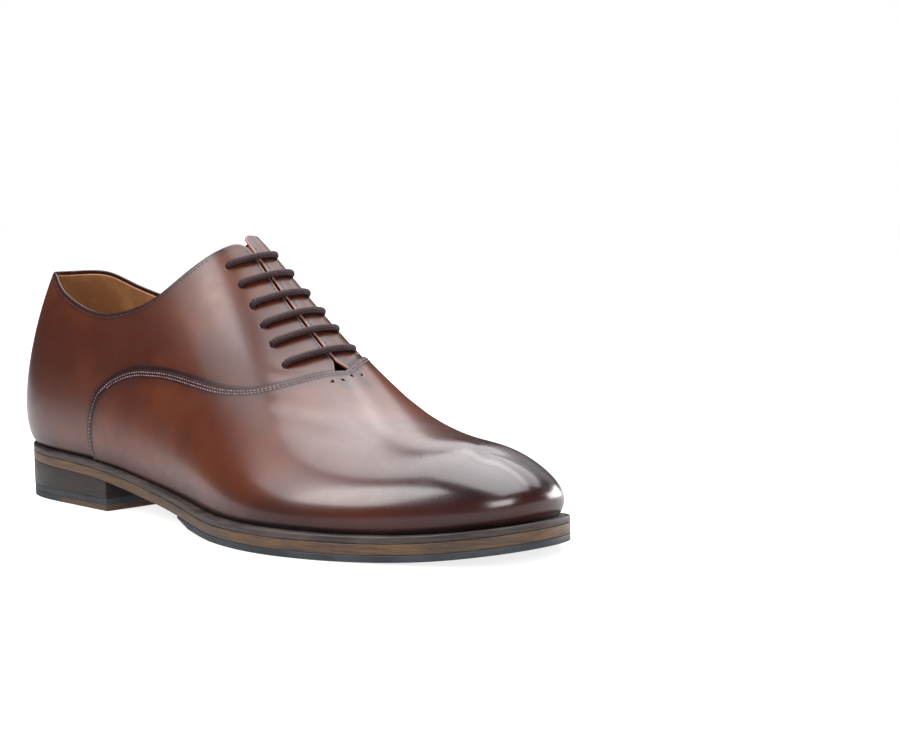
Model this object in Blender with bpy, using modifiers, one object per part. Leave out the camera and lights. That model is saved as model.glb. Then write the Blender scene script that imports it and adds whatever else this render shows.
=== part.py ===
"""Plain-toe oxford shoe for the right foot, standing empty on its sole.

The toe points along +X, the inner side of the foot is +Y and the floor is z = 0.
The origin is the centre of the heel's base. Every size is in metres.
"""

import bmesh
import bpy
import numpy as np

# Driving sizes
SOLE_LENGTH = 0.305
BALL_WIDTH = 0.1046
INSTEP_HEIGHT = 0.125
HEEL_LIFT = 0.0141
TOE_SPRING = 0.005
HEEL_LENGTH = 0.085
TOP_PIECE = 0.0052
OUTSOLE = 0.0037
WELT = 0.0027
RUBBER = 0.0026
WALL = 0.002
VAMP_STEP = 0.0009
TONGUE = 0.0016
INSOLE_SHOW = 0.0022
LACE = 0.003
EYELET_BORE = 0.0043
SLIT = 0.0012
THROAT_GAP = 0.009
GAP = 0.0003
SOLE_CHAMFER = 0.0004
HEEL_CHAMFER = 0.0005
FINE_CHAMFER = 0.0002
PIN_OUTSIDE = 0.003
PIN_INSIDE = 0.006

HALF_BALL = BALL_WIDTH / 2
HEEL_CENTRE = HEEL_LENGTH / 2

# Plan and last, a row per section from the back of the heel to the tip of the toe
# along is a share of SOLE_LENGTH, outer and inner are the sole's half widths in HALF_BALL
# inset is the feather line's, low_out and low_in the bulge of each side, all in HALF_BALL
# low_rise is the height of that bulge in INSTEP_HEIGHT
# crest_along, crest_across and crest_height place the ridge in SOLE_LENGTH, HALF_BALL and
# INSTEP_HEIGHT, tilt is its rise to the inner side for each step across
# high_out and high_in are the shoulders in HALF_BALL, reach draws them to heel and toe
LAST_COLUMNS = (
    "along", "outer", "inner", "inset", "low_out", "low_in", "low_rise",
    "crest_along", "crest_across", "crest_height", "tilt", "high_out", "high_in", "reach",
)
LAST = np.array([
    (0.000, 0.000, 0.000, 0.019, 0.324, 0.324, 0.120, 0.111, 0.000, 0.986, 0.00, 0.000, 0.000, -0.085),
    (0.023, 0.352, 0.342, 0.027, 0.301, 0.270, 0.112, 0.120, 0.000, 0.980, 0.00, 0.198, 0.180, -0.066),
    (0.085, 0.566, 0.532, 0.038, 0.234, 0.195, 0.112, 0.144, 0.000, 0.985, 0.00, 0.329, 0.330, -0.030),
    (0.174, 0.623, 0.554, 0.042, 0.185, 0.160, 0.126, 0.197, 0.015, 1.011, 0.01, 0.395, 0.430, -0.007),
    (0.272, 0.654, 0.516, 0.054, 0.157, 0.166, 0.143, 0.275, 0.045, 1.024, 0.06, 0.380, 0.490, 0.000),
    (0.380, 0.696, 0.463, 0.061, 0.139, 0.205, 0.164, 0.380, 0.105, 0.993, 0.14, 0.326, 0.640, 0.000),
    (0.492, 0.824, 0.524, 0.076, 0.130, 0.204, 0.167, 0.492, 0.100, 0.785, 0.19, 0.355, 0.720, 0.000),
    (0.603, 1.006, 0.767, 0.092, 0.116, 0.147, 0.144, 0.603, 0.080, 0.566, 0.11, 0.448, 0.730, 0.000),
    (0.711, 1.054, 0.946, 0.096, 0.106, 0.113, 0.110, 0.711, 0.045, 0.398, 0.02, 0.542, 0.705, 0.000),
    (0.813, 0.908, 0.874, 0.096, 0.103, 0.127, 0.097, 0.810, 0.015, 0.326, 0.02, 0.518, 0.642, 0.007),
    (0.902, 0.675, 0.696, 0.099, 0.110, 0.150, 0.092, 0.879, 0.000, 0.3145, 0.00, 0.379, 0.510, 0.020),
    (0.974, 0.388, 0.446, 0.103, 0.138, 0.175, 0.085, 0.908, 0.000, 0.295, 0.00, 0.225, 0.240, 0.033),
    (1.000, 0.000, 0.000, 0.107, 0.178, 0.178, 0.095, 0.918, 0.000, 0.2885, 0.00, 0.000, 0.000, 0.043),
])

# Underside of the leather sole: along, share of HEEL_LIFT, share of TOE_SPRING
UNDERSIDE = np.array([
    (0.000, 1.000, 0.000),
    (0.131, 0.858, 0.000),
    (0.279, 0.681, 0.000),
    (0.361, 0.454, 0.000),
    (0.459, 0.220, 0.000),
    (0.541, 0.050, 0.000),
    (0.607, -0.010, 0.000),
    (0.728, 0.000, -0.020),
    (0.836, 0.000, 0.040),
    (0.918, 0.000, 0.320),
    (1.000, 0.000, 1.000),
])

# Top line: along, height of the outer and of the inner quarter in INSTEP_HEIGHT
TOP_LINE = np.array([
    (0.000, 0.788, 0.788),
    (0.040, 0.792, 0.792),
    (0.075, 0.783, 0.784),
    (0.108, 0.748, 0.750),
    (0.150, 0.711, 0.714),
    (0.198, 0.679, 0.694),
    (0.238, 0.664, 0.718),
    (0.302, 0.680, 0.794),
    (0.354, 0.730, 0.860),
    (0.393, 0.806, 0.900),
    (0.416, 0.858, 0.912),
    (0.432, 0.890, 0.918),
    (0.455, 0.908, 0.921),
    (0.500, 0.922, 0.925),
    (0.600, 0.930, 0.930),
])

# Edge of the vamp: row of the last and share of the way from the feather line to the ridge
VAMP_HEEL_EDGE = np.array([
    (3.70, 0.00),
    (3.65, 0.10),
    (3.66, 0.18),
    (3.72, 0.24),
    (3.83, 0.29),
])
VAMP_TOP_EDGE = np.array([
    (3.83, 0.290, 0.290),
    (4.08, 0.330, 0.320),
    (4.33, 0.356, 0.335),
    (4.65, 0.378, 0.347),
    (4.95, 0.392, 0.358),
    (5.22, 0.408, 0.370),
    (5.67, 0.440, 0.400),
    (6.12, 0.482, 0.455),
    (6.42, 0.520, 0.525),
    (6.70, 0.572, 0.605),
    (6.92, 0.632, 0.700),
    (7.12, 0.725, 0.820),
    (7.27, 0.845, 0.920),
    (7.38, 1.000, 1.000),
])
THROAT_ROW = 7.38

# Eyelets from the top: row of the last and share of the way up, outer side then inner side
EYELETS = (
    (5.62, 0.840, 5.72, 0.885),
    (5.88, 0.838, 5.95, 0.860),
    (6.14, 0.828, 6.21, 0.845),
    (6.40, 0.812, 6.47, 0.840),
    (6.65, 0.795, 6.72, 0.840),
    (6.95, 0.780, 7.02, 0.840),
)
# How far the bars bow forward between their eyelets, in rows of the last
LACE_BOW = 0.09

# Rows of the last where the upper has a line of vertices
UPPER_ROWS = (
    0.00, 0.35, 0.70, 1.00, 1.30, 1.65, 2.05, 2.50, 3.00, 3.50, 3.85, 4.20, 4.60, 5.00, 5.30,
    5.52, 5.75, 6.00, 6.30, 6.60, 6.86, 7.08, 7.22, 7.32, 7.38, 7.65, 8.02, 8.40, 8.78, 9.15,
    9.50, 9.85, 10.20, 10.50, 10.80, 11.08, 11.34, 11.58, 11.80, 12.00,
)
UPPER_BANDS = 12
TOE_ROW = len(LAST) - 1
TURN = 2 * TOE_ROW


def closed_spline(points, at):
    """Smooth closed curve through the rows of points, read at the row numbers in at."""
    points = np.asarray(points, float)
    count = len(points)
    system = np.zeros((count, count))
    for row in range(count):
        system[row, row] += 4
        system[row, (row - 1) % count] += 1
        system[row, (row + 1) % count] += 1
    turns = np.linalg.solve(system, 3 * (np.roll(points, -1, 0) - np.roll(points, 1, 0)))
    at = np.atleast_1d(np.asarray(at, float)) % count
    low = np.floor(at).astype(int) % count
    high = (low + 1) % count
    t = (at - np.floor(at))[:, None]
    return (
        (2 * t**3 - 3 * t**2 + 1) * points[low]
        + (t**3 - 2 * t**2 + t) * turns[low]
        + (3 * t**2 - 2 * t**3) * points[high]
        + (t**3 - t**2) * turns[high]
    )


def open_spline(table, column, at):
    """Smooth curve through one column of a table against its first column."""
    xs = table[:, 0]
    ys = table[:, column]
    count = len(xs)
    steps = np.diff(xs)
    system = np.eye(count)
    right = np.zeros(count)
    for row in range(1, count - 1):
        system[row, row - 1] = steps[row - 1]
        system[row, row] = 2 * (steps[row - 1] + steps[row])
        system[row, row + 1] = steps[row]
        right[row] = 6 * ((ys[row + 1] - ys[row]) / steps[row] - (ys[row] - ys[row - 1]) / steps[row - 1])
    bend = np.linalg.solve(system, right)
    at = np.asarray(at, float)
    low = np.clip(np.searchsorted(xs, at) - 1, 0, count - 2)
    step = steps[low]
    left = xs[low + 1] - at
    done = at - xs[low]
    return (
        (bend[low] * left**3 + bend[low + 1] * done**3) / (6 * step)
        + (ys[low] / step - bend[low] * step / 6) * left
        + (ys[low + 1] / step - bend[low + 1] * step / 6) * done
    )


def along_share(x):
    """Share of the sole's length at a place along it."""
    return (np.asarray(x, float) + HEEL_CENTRE) / SOLE_LENGTH


def outsole_under(x):
    """Height of the leather sole's underside."""
    share = along_share(x)
    lift = open_spline(UNDERSIDE, 1, share) * HEEL_LIFT
    spring = open_spline(UNDERSIDE, 2, share) * TOE_SPRING
    return RUBBER + GAP + np.maximum(lift + spring, 0)


def outsole_top(x):
    """Height of the leather sole's upper face."""
    return outsole_under(x) + OUTSOLE


def welt_top(x):
    """Height of the welt's upper face."""
    return outsole_top(x) + GAP + WELT


def column(name):
    """One column of the last's table for the outer side, then the inner side back to the heel."""
    if name in ("outer", "low_out", "high_out"):
        partner = {"outer": "inner", "low_out": "low_in", "high_out": "high_in"}[name]
    else:
        partner = name
    outer = LAST[:, LAST_COLUMNS.index(name)]
    inner = LAST[:, LAST_COLUMNS.index(partner)]
    return np.concatenate([outer, inner[-2:0:-1]])


SIDE = np.concatenate([-np.ones(TOE_ROW + 1), np.ones(TOE_ROW - 1)])


def edge_and_outward(at):
    """Points of the sole's outline and the directions that point out of it."""
    ring = np.column_stack([column("along") * SOLE_LENGTH - HEEL_CENTRE, SIDE * column("outer") * HALF_BALL])
    step = 0.02
    tangent = closed_spline(ring, at + step) - closed_spline(ring, at - step)
    outward = np.column_stack([tangent[:, 1], -tangent[:, 0]])
    return closed_spline(ring, at), outward / np.linalg.norm(outward, axis=1)[:, None]


def control_rings():
    """Feather line, bulge, shoulder and ridge of the last, each a ring of points."""
    edge, outward = edge_and_outward(np.arange(TURN, dtype=float))
    feather = edge - outward * column("inset")[:, None] * HALF_BALL
    bulge = feather + outward * column("low_out")[:, None] * HALF_BALL
    base = welt_top(feather[:, 0]) + GAP
    ridge_x = column("crest_along") * SOLE_LENGTH - HEEL_CENTRE
    ridge_z = column("crest_height") * INSTEP_HEIGHT
    ridge_y = column("crest_across") * HALF_BALL
    half = TOE_ROW + 1
    slope = np.gradient(ridge_z[:half], ridge_x[:half])
    slope = np.concatenate([slope, slope[-2:0:-1]])
    reach = column("reach") * SOLE_LENGTH
    shoulder_y = SIDE * column("high_out") * HALF_BALL
    shoulder_z = ridge_z + slope * reach + column("tilt") * (shoulder_y - ridge_y)
    return (
        np.column_stack([feather, base]),
        np.column_stack([bulge, base + column("low_rise") * INSTEP_HEIGHT]),
        np.column_stack([ridge_x + reach, shoulder_y, shoulder_z]),
        np.column_stack([ridge_x, ridge_y, ridge_z]),
    )


RINGS = control_rings()


def last_point(row, rise):
    """Points of the last: rise goes from 0 at the feather line to 1 at the ridge."""
    row, rise = np.broadcast_arrays(np.asarray(row, float), np.asarray(rise, float))
    feather, bulge, shoulder, ridge = [closed_spline(ring, row) for ring in RINGS]
    up = rise.reshape(-1, 1)
    down = 1 - up
    return feather * down**3 + 3 * bulge * up * down**2 + 3 * shoulder * up**2 * down + ridge * up**3


def square_to(row, rise):
    """Directions square to the last, pointing out of it."""
    step = 0.01
    near_tip = np.abs(row - TOE_ROW) < 2.5
    rise = np.where(near_tip, np.minimum(rise, 0.96), rise)
    across = last_point(row + step, rise) - last_point(row - step, rise)
    upward = last_point(row, rise + step) - last_point(row, rise - step)
    square = np.cross(across, upward)
    return square / np.linalg.norm(square, axis=1)[:, None]


def shell_point(row, rise, out):
    """Points at a distance from the last, measured square to it."""
    row, rise = np.broadcast_arrays(np.atleast_1d(np.asarray(row, float)), np.asarray(rise, float))
    square = square_to(row, rise)
    both = square + square_to(TURN - row, rise)
    both /= np.linalg.norm(both, axis=1)[:, None]
    on_ridge = (rise > 0.9995)[:, None]
    return last_point(row, rise) + np.where(on_ridge, both, square) * np.reshape(out, (-1, 1))


def in_slit(points):
    """Whether each point lies in the opening between the two facings."""
    ridge = last_point(np.linspace(0, TOE_ROW, 241), 1.0)
    middle = np.interp(points[:, 0], ridge[:, 0], ridge[:, 1])
    share = along_share(points[:, 0])
    spread = np.clip((share - 0.626) / 0.018, 0, 1)
    half = SLIT / 2 + (THROAT_GAP / 2 - SLIT / 2) * spread
    return (np.abs(points[:, 1] - middle) < half) & (share > 0.4)


def rim_rise(row):
    """Share of the way up at which the upper ends, at its top line, slit or ridge."""
    inner = row > TOE_ROW
    from_heel = TURN - row if inner else row
    if from_heel > THROAT_ROW - 0.001:
        return 1.0
    rises = np.linspace(0.2, 1, 1601)
    points = last_point(np.full(rises.shape, row), rises)
    share = along_share(points[:, 0])
    top = open_spline(TOP_LINE, 2 if inner else 1, np.clip(share, 0, 0.6)) * INSTEP_HEIGHT
    over = (points[:, 2] > top) | in_slit(points)
    return rises[np.argmax(over)] if over.any() else 1.0


def around(rows):
    """Rows of both sides, from the back of the heel round the toe and back."""
    rows = np.asarray(rows, float)
    return np.concatenate([rows, TURN - rows[-2:0:-1]])


def new_mesh(name, points, faces, group, colour=None, rough=0.5):
    """One named object from points and faces, with its own material."""
    form = bmesh.new()
    corners = [form.verts.new(point) for point in points]
    for face in faces:
        form.faces.new([corners[index] for index in face])
    bmesh.ops.remove_doubles(form, verts=form.verts, dist=0.00005)
    bmesh.ops.dissolve_degenerate(form, dist=0.00001, edges=form.edges)
    mesh = bpy.data.meshes.new(name)
    form.to_mesh(mesh)
    form.free()
    shape = bpy.data.objects.new(name, mesh)
    group.objects.link(shape)
    if colour is None:
        shape.hide_render = True
        shape.display_type = "WIRE"
    else:
        paint(shape, colour, rough)
    return shape


def paint(shape, colour, rough):
    """Gives an object a plain material of its own."""
    material = bpy.data.materials.new(shape.name)
    material.use_nodes = True
    shader = material.node_tree.nodes["Principled BSDF"]
    shader.inputs["Base Color"].default_value = (*colour, 1)
    shader.inputs["Roughness"].default_value = rough
    material.diffuse_color = (*colour, 1)
    shape.data.materials.append(material)


def grid_faces(columns, bands, closed):
    """Faces of a grid whose points run up each column in turn."""
    faces = []
    for place in range(columns if closed else columns - 1):
        here = place * (bands + 1)
        there = (place + 1) % columns * (bands + 1)
        for band in range(bands):
            faces.append((here + band, there + band, there + band + 1, here + band + 1))
    return faces


def thicken(shape, thickness):
    """Gives a surface a wall that grows inward."""
    wall = shape.modifiers.new("Wall", "SOLIDIFY")
    wall.thickness = thickness
    wall.offset = -1
    wall.use_rim = True
    shape.modifiers.new("Flat faces", "TRIANGULATE")


def combine(shape, other, operation):
    """Joins another form to an object or cuts it away."""
    step = shape.modifiers.new(operation.title(), "BOOLEAN")
    step.operation = operation
    step.solver = "EXACT"
    step.object = other


def corner_row(inner):
    """Row of the last where the top line meets the slit."""
    rows = np.linspace(4.5, THROAT_ROW, 601)
    points = last_point(rows, 1.0)
    share = along_share(points[:, 0])
    top = open_spline(TOP_LINE, 2 if inner else 1, np.clip(share, 0, 0.6)) * INSTEP_HEIGHT
    under = (points[:, 2] < top) & (rows > 5.2)
    return rows[np.argmax(under)]


def make_upper(group, cutters):
    """Hollow upper, open at collar, throat and underneath."""
    rows = list(UPPER_ROWS)
    corner = corner_row(False)
    nearest = int(np.argmin([abs(row - corner) for row in rows]))
    rows[nearest] = corner
    points = []
    for row in around(rows):
        rises = np.linspace(0, rim_rise(row), UPPER_BANDS + 1)
        points.extend(last_point(np.full(rises.shape, row), rises))
    faces = grid_faces(len(around(rows)), UPPER_BANDS, True)
    upper = new_mesh("upper", points, faces, group, (0.16, 0.045, 0.018), 0.35)
    thicken(upper, WALL)
    combine(upper, vamp_form(cutters), "UNION")
    combine(upper, eyelet_form(cutters), "DIFFERENCE")
    return upper


def vamp_form(cutters):
    """Raised skin of the vamp, whose edge steps down to the quarters."""
    bands = 9
    tops = [row for row in UPPER_ROWS if row > VAMP_TOP_EDGE[0, 0] + 0.1]
    points = []
    side = np.concatenate([[VAMP_TOP_EDGE[0, 0], 4.0], tops])
    every = np.concatenate([side, TURN - side[-2::-1]])
    for row in every:
        from_heel = TURN - row if row > TOE_ROW else row
        top = 1.0
        if from_heel < THROAT_ROW - 0.001:
            top = float(open_spline(VAMP_TOP_EDGE, 2 if row > TOE_ROW else 1, from_heel))
        rises = np.linspace(0.012, top, bands + 1)
        edge = np.interp(rises, VAMP_HEEL_EDGE[:, 1], VAMP_HEEL_EDGE[:, 0])
        lean = (edge - VAMP_TOP_EDGE[0, 0]) * max(0.0, 1 - (from_heel - VAMP_TOP_EDGE[0, 0]) / 0.6)
        turned = -lean if row > TOE_ROW else lean
        points.extend(shell_point(row + turned, rises, np.full(rises.shape, VAMP_STEP)))
    form = new_mesh("vamp_form", points, grid_faces(len(every), bands, False), cutters)
    thicken(form, VAMP_STEP + WALL * 0.4)
    return form


def eyelet_form(cutters):
    """Pins that punch the eyelets through both facings."""
    sides = 12
    points = []
    faces = []
    for outer, outer_rise, inner, inner_rise in EYELETS:
        for place, rise in ((outer, outer_rise), (TURN - inner, inner_rise)):
            top = shell_point(place, [rise], [PIN_OUTSIDE])[0]
            foot = shell_point(place, [rise], [-PIN_INSIDE])[0]
            axis = (top - foot) / np.linalg.norm(top - foot)
            first = np.cross(axis, (1, 0, 0))
            first /= np.linalg.norm(first)
            second = np.cross(axis, first)
            start = len(points)
            for end in (foot, top):
                for turn in np.arange(sides) * 2 * np.pi / sides:
                    points.append(end + (first * np.cos(turn) + second * np.sin(turn)) * EYELET_BORE / 2)
            for index in range(sides):
                after = (index + 1) % sides
                faces.append((start + index, start + after, start + sides + after, start + sides + index))
            faces.append([start + index for index in range(sides)][::-1])
            faces.append([start + sides + index for index in range(sides)])
    return new_mesh("eyelet_form", points, faces, cutters)


def make_tongue(group):
    """Tongue under both facings, with room for the lace between."""
    bands = 5
    side = np.linspace(5.60, 7.9, 13)
    depth = -(WALL + LACE + 4 * GAP)
    points = []
    faces = []
    for inner in (False, True):
        start = len(points)
        for row in side:
            place = TURN - row if inner else row
            rises = np.linspace(0.80, 1, bands + 1)
            points.extend(shell_point(place, rises, np.full(rises.shape, depth)))
        for face in grid_faces(len(side), bands, False):
            moved = [start + index for index in face]
            faces.append(moved[::-1] if inner else moved)
    tongue = new_mesh("tongue", points, faces, group, (0.13, 0.04, 0.018), 0.45)
    thicken(tongue, TONGUE)
    return tongue


def sole_sides(inset, feather):
    """Both sides of the outline moved inward, as sorted places along and across."""
    at = np.linspace(0, TURN, 24 * 20 + 1)
    edge, outward = edge_and_outward(at)
    amount = np.full(at.shape, float(inset))
    if feather:
        amount = amount + closed_spline(column("inset")[:, None], at)[:, 0] * HALF_BALL
    moved = edge - outward * amount[:, None]
    half = len(at) // 2
    return moved[: half + 1], moved[half:][::-1]


def plate(name, layers, group, colour, rough, start=None, stop=None, feather=False, steps=30):
    """Plate with the sole's outline; a layer is an inset and a height at each place along."""
    rings = []
    spread = (1 - np.cos(np.linspace(0, np.pi, steps + 1))) / 2
    for inset, height in layers:
        outer, inner = sole_sides(inset, feather)
        low = outer[0, 0] if start is None else start
        high = outer[-1, 0] if stop is None else stop
        x = low + (high - low) * spread
        y_outer = np.interp(x, outer[:, 0], outer[:, 1])
        y_inner = np.interp(x, inner[:, 0], inner[:, 1])
        z = height(x)
        rings.append((np.column_stack([x, y_outer, z]), np.column_stack([x, y_inner, z])))
    points = []
    for outer, inner in rings:
        points.extend(outer)
        points.extend(inner)
    run = steps + 1
    ring_size = 2 * run
    faces = []
    for step in range(steps):
        faces.append((step, run + step, run + step + 1, step + 1))
        top = ring_size * (len(rings) - 1)
        faces.append((top + step, top + step + 1, top + run + step + 1, top + run + step))
        for layer in range(len(rings) - 1):
            here = ring_size * layer
            there = here + ring_size
            faces.append((here + step, here + step + 1, there + step + 1, there + step))
            faces.append((here + run + step + 1, here + run + step, there + run + step, there + run + step + 1))
    for layer in range(len(rings) - 1):
        here = ring_size * layer
        there = here + ring_size
        if start is not None:
            faces.append((here + run, here, there, there + run))
        if stop is not None:
            faces.append((here + steps, here + run + steps, there + run + steps, there + steps))
    return new_mesh(name, points, faces, group, colour, rough)


def level(height):
    """The same height at every place along."""
    return lambda x: np.full(np.shape(x), height)


def make_welt(group):
    """Strip that runs round under the edge of the upper."""
    at = np.arange(0, TURN, 0.25)
    edge, outward = edge_and_outward(at)
    inset = closed_spline(column("inset")[:, None], at)[:, 0] * HALF_BALL + WALL
    inside = edge - outward * inset[:, None]
    chamfer = SOLE_CHAMFER
    rings = []
    for place, rise in (
        (edge - outward * chamfer, 0),
        (edge, chamfer),
        (edge, WELT - chamfer),
        (edge - outward * chamfer, WELT),
        (inside, WELT),
        (inside, 0),
    ):
        rings.append(np.column_stack([place, outsole_top(place[:, 0]) + GAP + rise]))
    count = len(at)
    points = np.vstack(rings)
    faces = []
    for ring in range(len(rings)):
        after = (ring + 1) % len(rings)
        for step in range(count):
            following = (step + 1) % count
            faces.append((
                ring * count + step,
                ring * count + following,
                after * count + following,
                after * count + step,
            ))
    return new_mesh("welt", points, faces, group, (0.09, 0.07, 0.055), 0.5)


def make_bottom(group, cutters):
    """Insole, outsole, half sole of rubber, heel stack and the heel's top piece."""
    plate(
        "insole",
        [
            (WALL + GAP, lambda x: outsole_top(x) + GAP),
            (WALL + GAP, lambda x: welt_top(x) + INSOLE_SHOW),
        ],
        group, (0.42, 0.27, 0.15), 0.6, feather=True,
    )
    chamfer = HEEL_CHAMFER
    plate(
        "outsole",
        [
            (chamfer, outsole_under),
            (0, lambda x: outsole_under(x) + chamfer),
            (0, lambda x: outsole_top(x) - chamfer),
            (chamfer, outsole_top),
        ],
        group, (0.25, 0.13, 0.05), 0.5,
    )
    start = 0.478 * SOLE_LENGTH - HEEL_CENTRE
    wedge = 0.036 * SOLE_LENGTH

    def rubber_under(x):
        thickness = RUBBER * np.clip(0.35 + 0.65 * (x - start) / wedge, 0, 1)
        return outsole_under(x) - GAP - thickness

    plate(
        "half_sole",
        [
            (chamfer, rubber_under),
            (0, lambda x: rubber_under(x) + chamfer),
            (0, lambda x: outsole_under(x) - GAP),
        ],
        group, (0.03, 0.033, 0.038), 0.6, start=start,
    )
    breast = HEEL_LENGTH - HEEL_CENTRE
    plate(
        "heel_stack",
        [
            (FINE_CHAMFER, level(TOP_PIECE + GAP)),
            (0, lambda x: outsole_under(x) - GAP),
        ],
        group, (0.10, 0.075, 0.06), 0.5, stop=breast, steps=18,
    )
    top_piece = plate(
        "top_piece",
        [
            (chamfer, level(0.0)),
            (FINE_CHAMFER, level(chamfer)),
            (FINE_CHAMFER, level(TOP_PIECE)),
        ],
        group, (0.02, 0.02, 0.022), 0.6, stop=breast, steps=18,
    )
    insert_height = TOP_PIECE * 0.5
    split = 0.05 * HEEL_LENGTH
    plate(
        "top_piece_insert",
        [
            (chamfer, level(0.0)),
            (FINE_CHAMFER, level(chamfer)),
            (FINE_CHAMFER, level(insert_height - GAP)),
        ],
        group, (0.28, 0.15, 0.06), 0.55, start=split + GAP, stop=breast, steps=12,
    )
    reach = HEEL_LENGTH
    low, high = -0.01, insert_height
    box = [(x, y, z) for x in (split, split + reach) for y in (-reach, reach) for z in (low, high)]
    sides = [(0, 1, 3, 2), (4, 6, 7, 5), (0, 4, 5, 1), (2, 3, 7, 6), (0, 2, 6, 4), (1, 5, 7, 3)]
    combine(top_piece, new_mesh("insert_form", box, sides, cutters), "DIFFERENCE")


def round_corners(path):
    """Cuts each corner of a path once."""
    path = np.asarray(path)
    first = path[:-1] * 0.75 + path[1:] * 0.25
    second = path[:-1] * 0.25 + path[1:] * 0.75
    cut = np.empty((2 * len(first), 3))
    cut[0::2] = first
    cut[1::2] = second
    return np.vstack([path[:1], cut[1:-1], path[-1:]])


def make_lace(group):
    """One cord in six bars across the throat, passing under the facings between them."""
    over = LACE / 2 + 2 * GAP
    under = -(WALL + LACE / 2 + 2 * GAP)
    path = []

    def stop_at(index, inner, out, share=0.0):
        row, rise = EYELETS[index][2:] if inner else EYELETS[index][:2]
        row = row + LACE_BOW * share * (2 - share)
        return shell_point(TURN - row if inner else row, [rise * (1 - share) + share], [out])[0]

    path.append(stop_at(0, False, under, 0.3))
    inner = False
    for index in range(len(EYELETS)):
        path.append(stop_at(index, inner, under))
        path.append(stop_at(index, inner, over))
        path.append(stop_at(index, inner, over, 0.4))
        path.append((stop_at(index, inner, over, 0.9) + stop_at(index, not inner, over, 0.9)) / 2)
        inner = not inner
        path.append(stop_at(index, inner, over, 0.4))
        path.append(stop_at(index, inner, over))
        path.append(stop_at(index, inner, under))
        if index < len(EYELETS) - 1:
            middle = (stop_at(index, inner, under) + stop_at(index + 1, inner, under)) / 2
            path.append(middle)
    for index in (5, 4, 3, 2, 1, 0):
        path.append(stop_at(index, inner, under, 0.5))
    path = round_corners(path)
    curve = bpy.data.curves.new("lace", "CURVE")
    curve.dimensions = "3D"
    curve.bevel_depth = LACE / 2
    curve.bevel_resolution = 1
    curve.use_fill_caps = True
    line = curve.splines.new("POLY")
    line.points.add(len(path) - 1)
    for point, place in zip(line.points, path):
        point.co = (*place, 1)
    lace = bpy.data.objects.new("lace", curve)
    group.objects.link(lace)
    paint(lace, (0.05, 0.035, 0.033), 0.6)
    return lace


def main():
    """Clears the file and builds the shoe."""
    for item in list(bpy.data.objects):
        bpy.data.objects.remove(item, do_unlink=True)
    shoe = bpy.data.collections.new("oxford_shoe")
    cutters = bpy.data.collections.new("cutters")
    bpy.context.scene.collection.children.link(shoe)
    bpy.context.scene.collection.children.link(cutters)
    make_upper(shoe, cutters)
    make_tongue(shoe)
    make_welt(shoe)
    make_bottom(shoe, cutters)
    make_lace(shoe)


main()
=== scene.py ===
"""Plain-toe oxford shoe in burnished calf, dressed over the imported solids.

The toe points along +X, the inner side of the foot is +Y and the floor is z = 0.
Every size is in metres.
"""

import bmesh
import bpy
import numpy as np
from mathutils import Matrix, kdtree


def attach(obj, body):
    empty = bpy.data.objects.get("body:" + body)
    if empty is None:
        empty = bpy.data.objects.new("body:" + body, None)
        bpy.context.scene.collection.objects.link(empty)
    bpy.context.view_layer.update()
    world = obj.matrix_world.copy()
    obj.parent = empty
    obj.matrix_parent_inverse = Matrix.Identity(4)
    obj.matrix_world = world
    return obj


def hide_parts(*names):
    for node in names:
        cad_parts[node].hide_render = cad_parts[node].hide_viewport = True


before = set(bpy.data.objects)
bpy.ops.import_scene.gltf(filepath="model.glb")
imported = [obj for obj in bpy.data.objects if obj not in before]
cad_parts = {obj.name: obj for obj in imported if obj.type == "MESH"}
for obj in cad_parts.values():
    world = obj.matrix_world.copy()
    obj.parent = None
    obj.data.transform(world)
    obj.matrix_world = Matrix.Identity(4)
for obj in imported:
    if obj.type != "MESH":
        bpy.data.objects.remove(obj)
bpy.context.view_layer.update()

# Driving sizes, as in the solids
SOLE_LENGTH = 0.305
BALL_WIDTH = 0.1046
INSTEP_HEIGHT = 0.125
HEEL_LIFT = 0.0141
TOE_SPRING = 0.005
HEEL_LENGTH = 0.085
TOP_PIECE = 0.0052
OUTSOLE = 0.0037
WELT = 0.0027
RUBBER = 0.0026
WALL = 0.002
VAMP_STEP = 0.0009
TONGUE = 0.0016
INSOLE_SHOW = 0.0022
LACE = 0.003
SLIT = 0.0012
THROAT_GAP = 0.009
GAP = 0.0003
MM = 0.001

HALF_BALL = BALL_WIDTH / 2
HEEL_CENTRE = HEEL_LENGTH / 2

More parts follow.
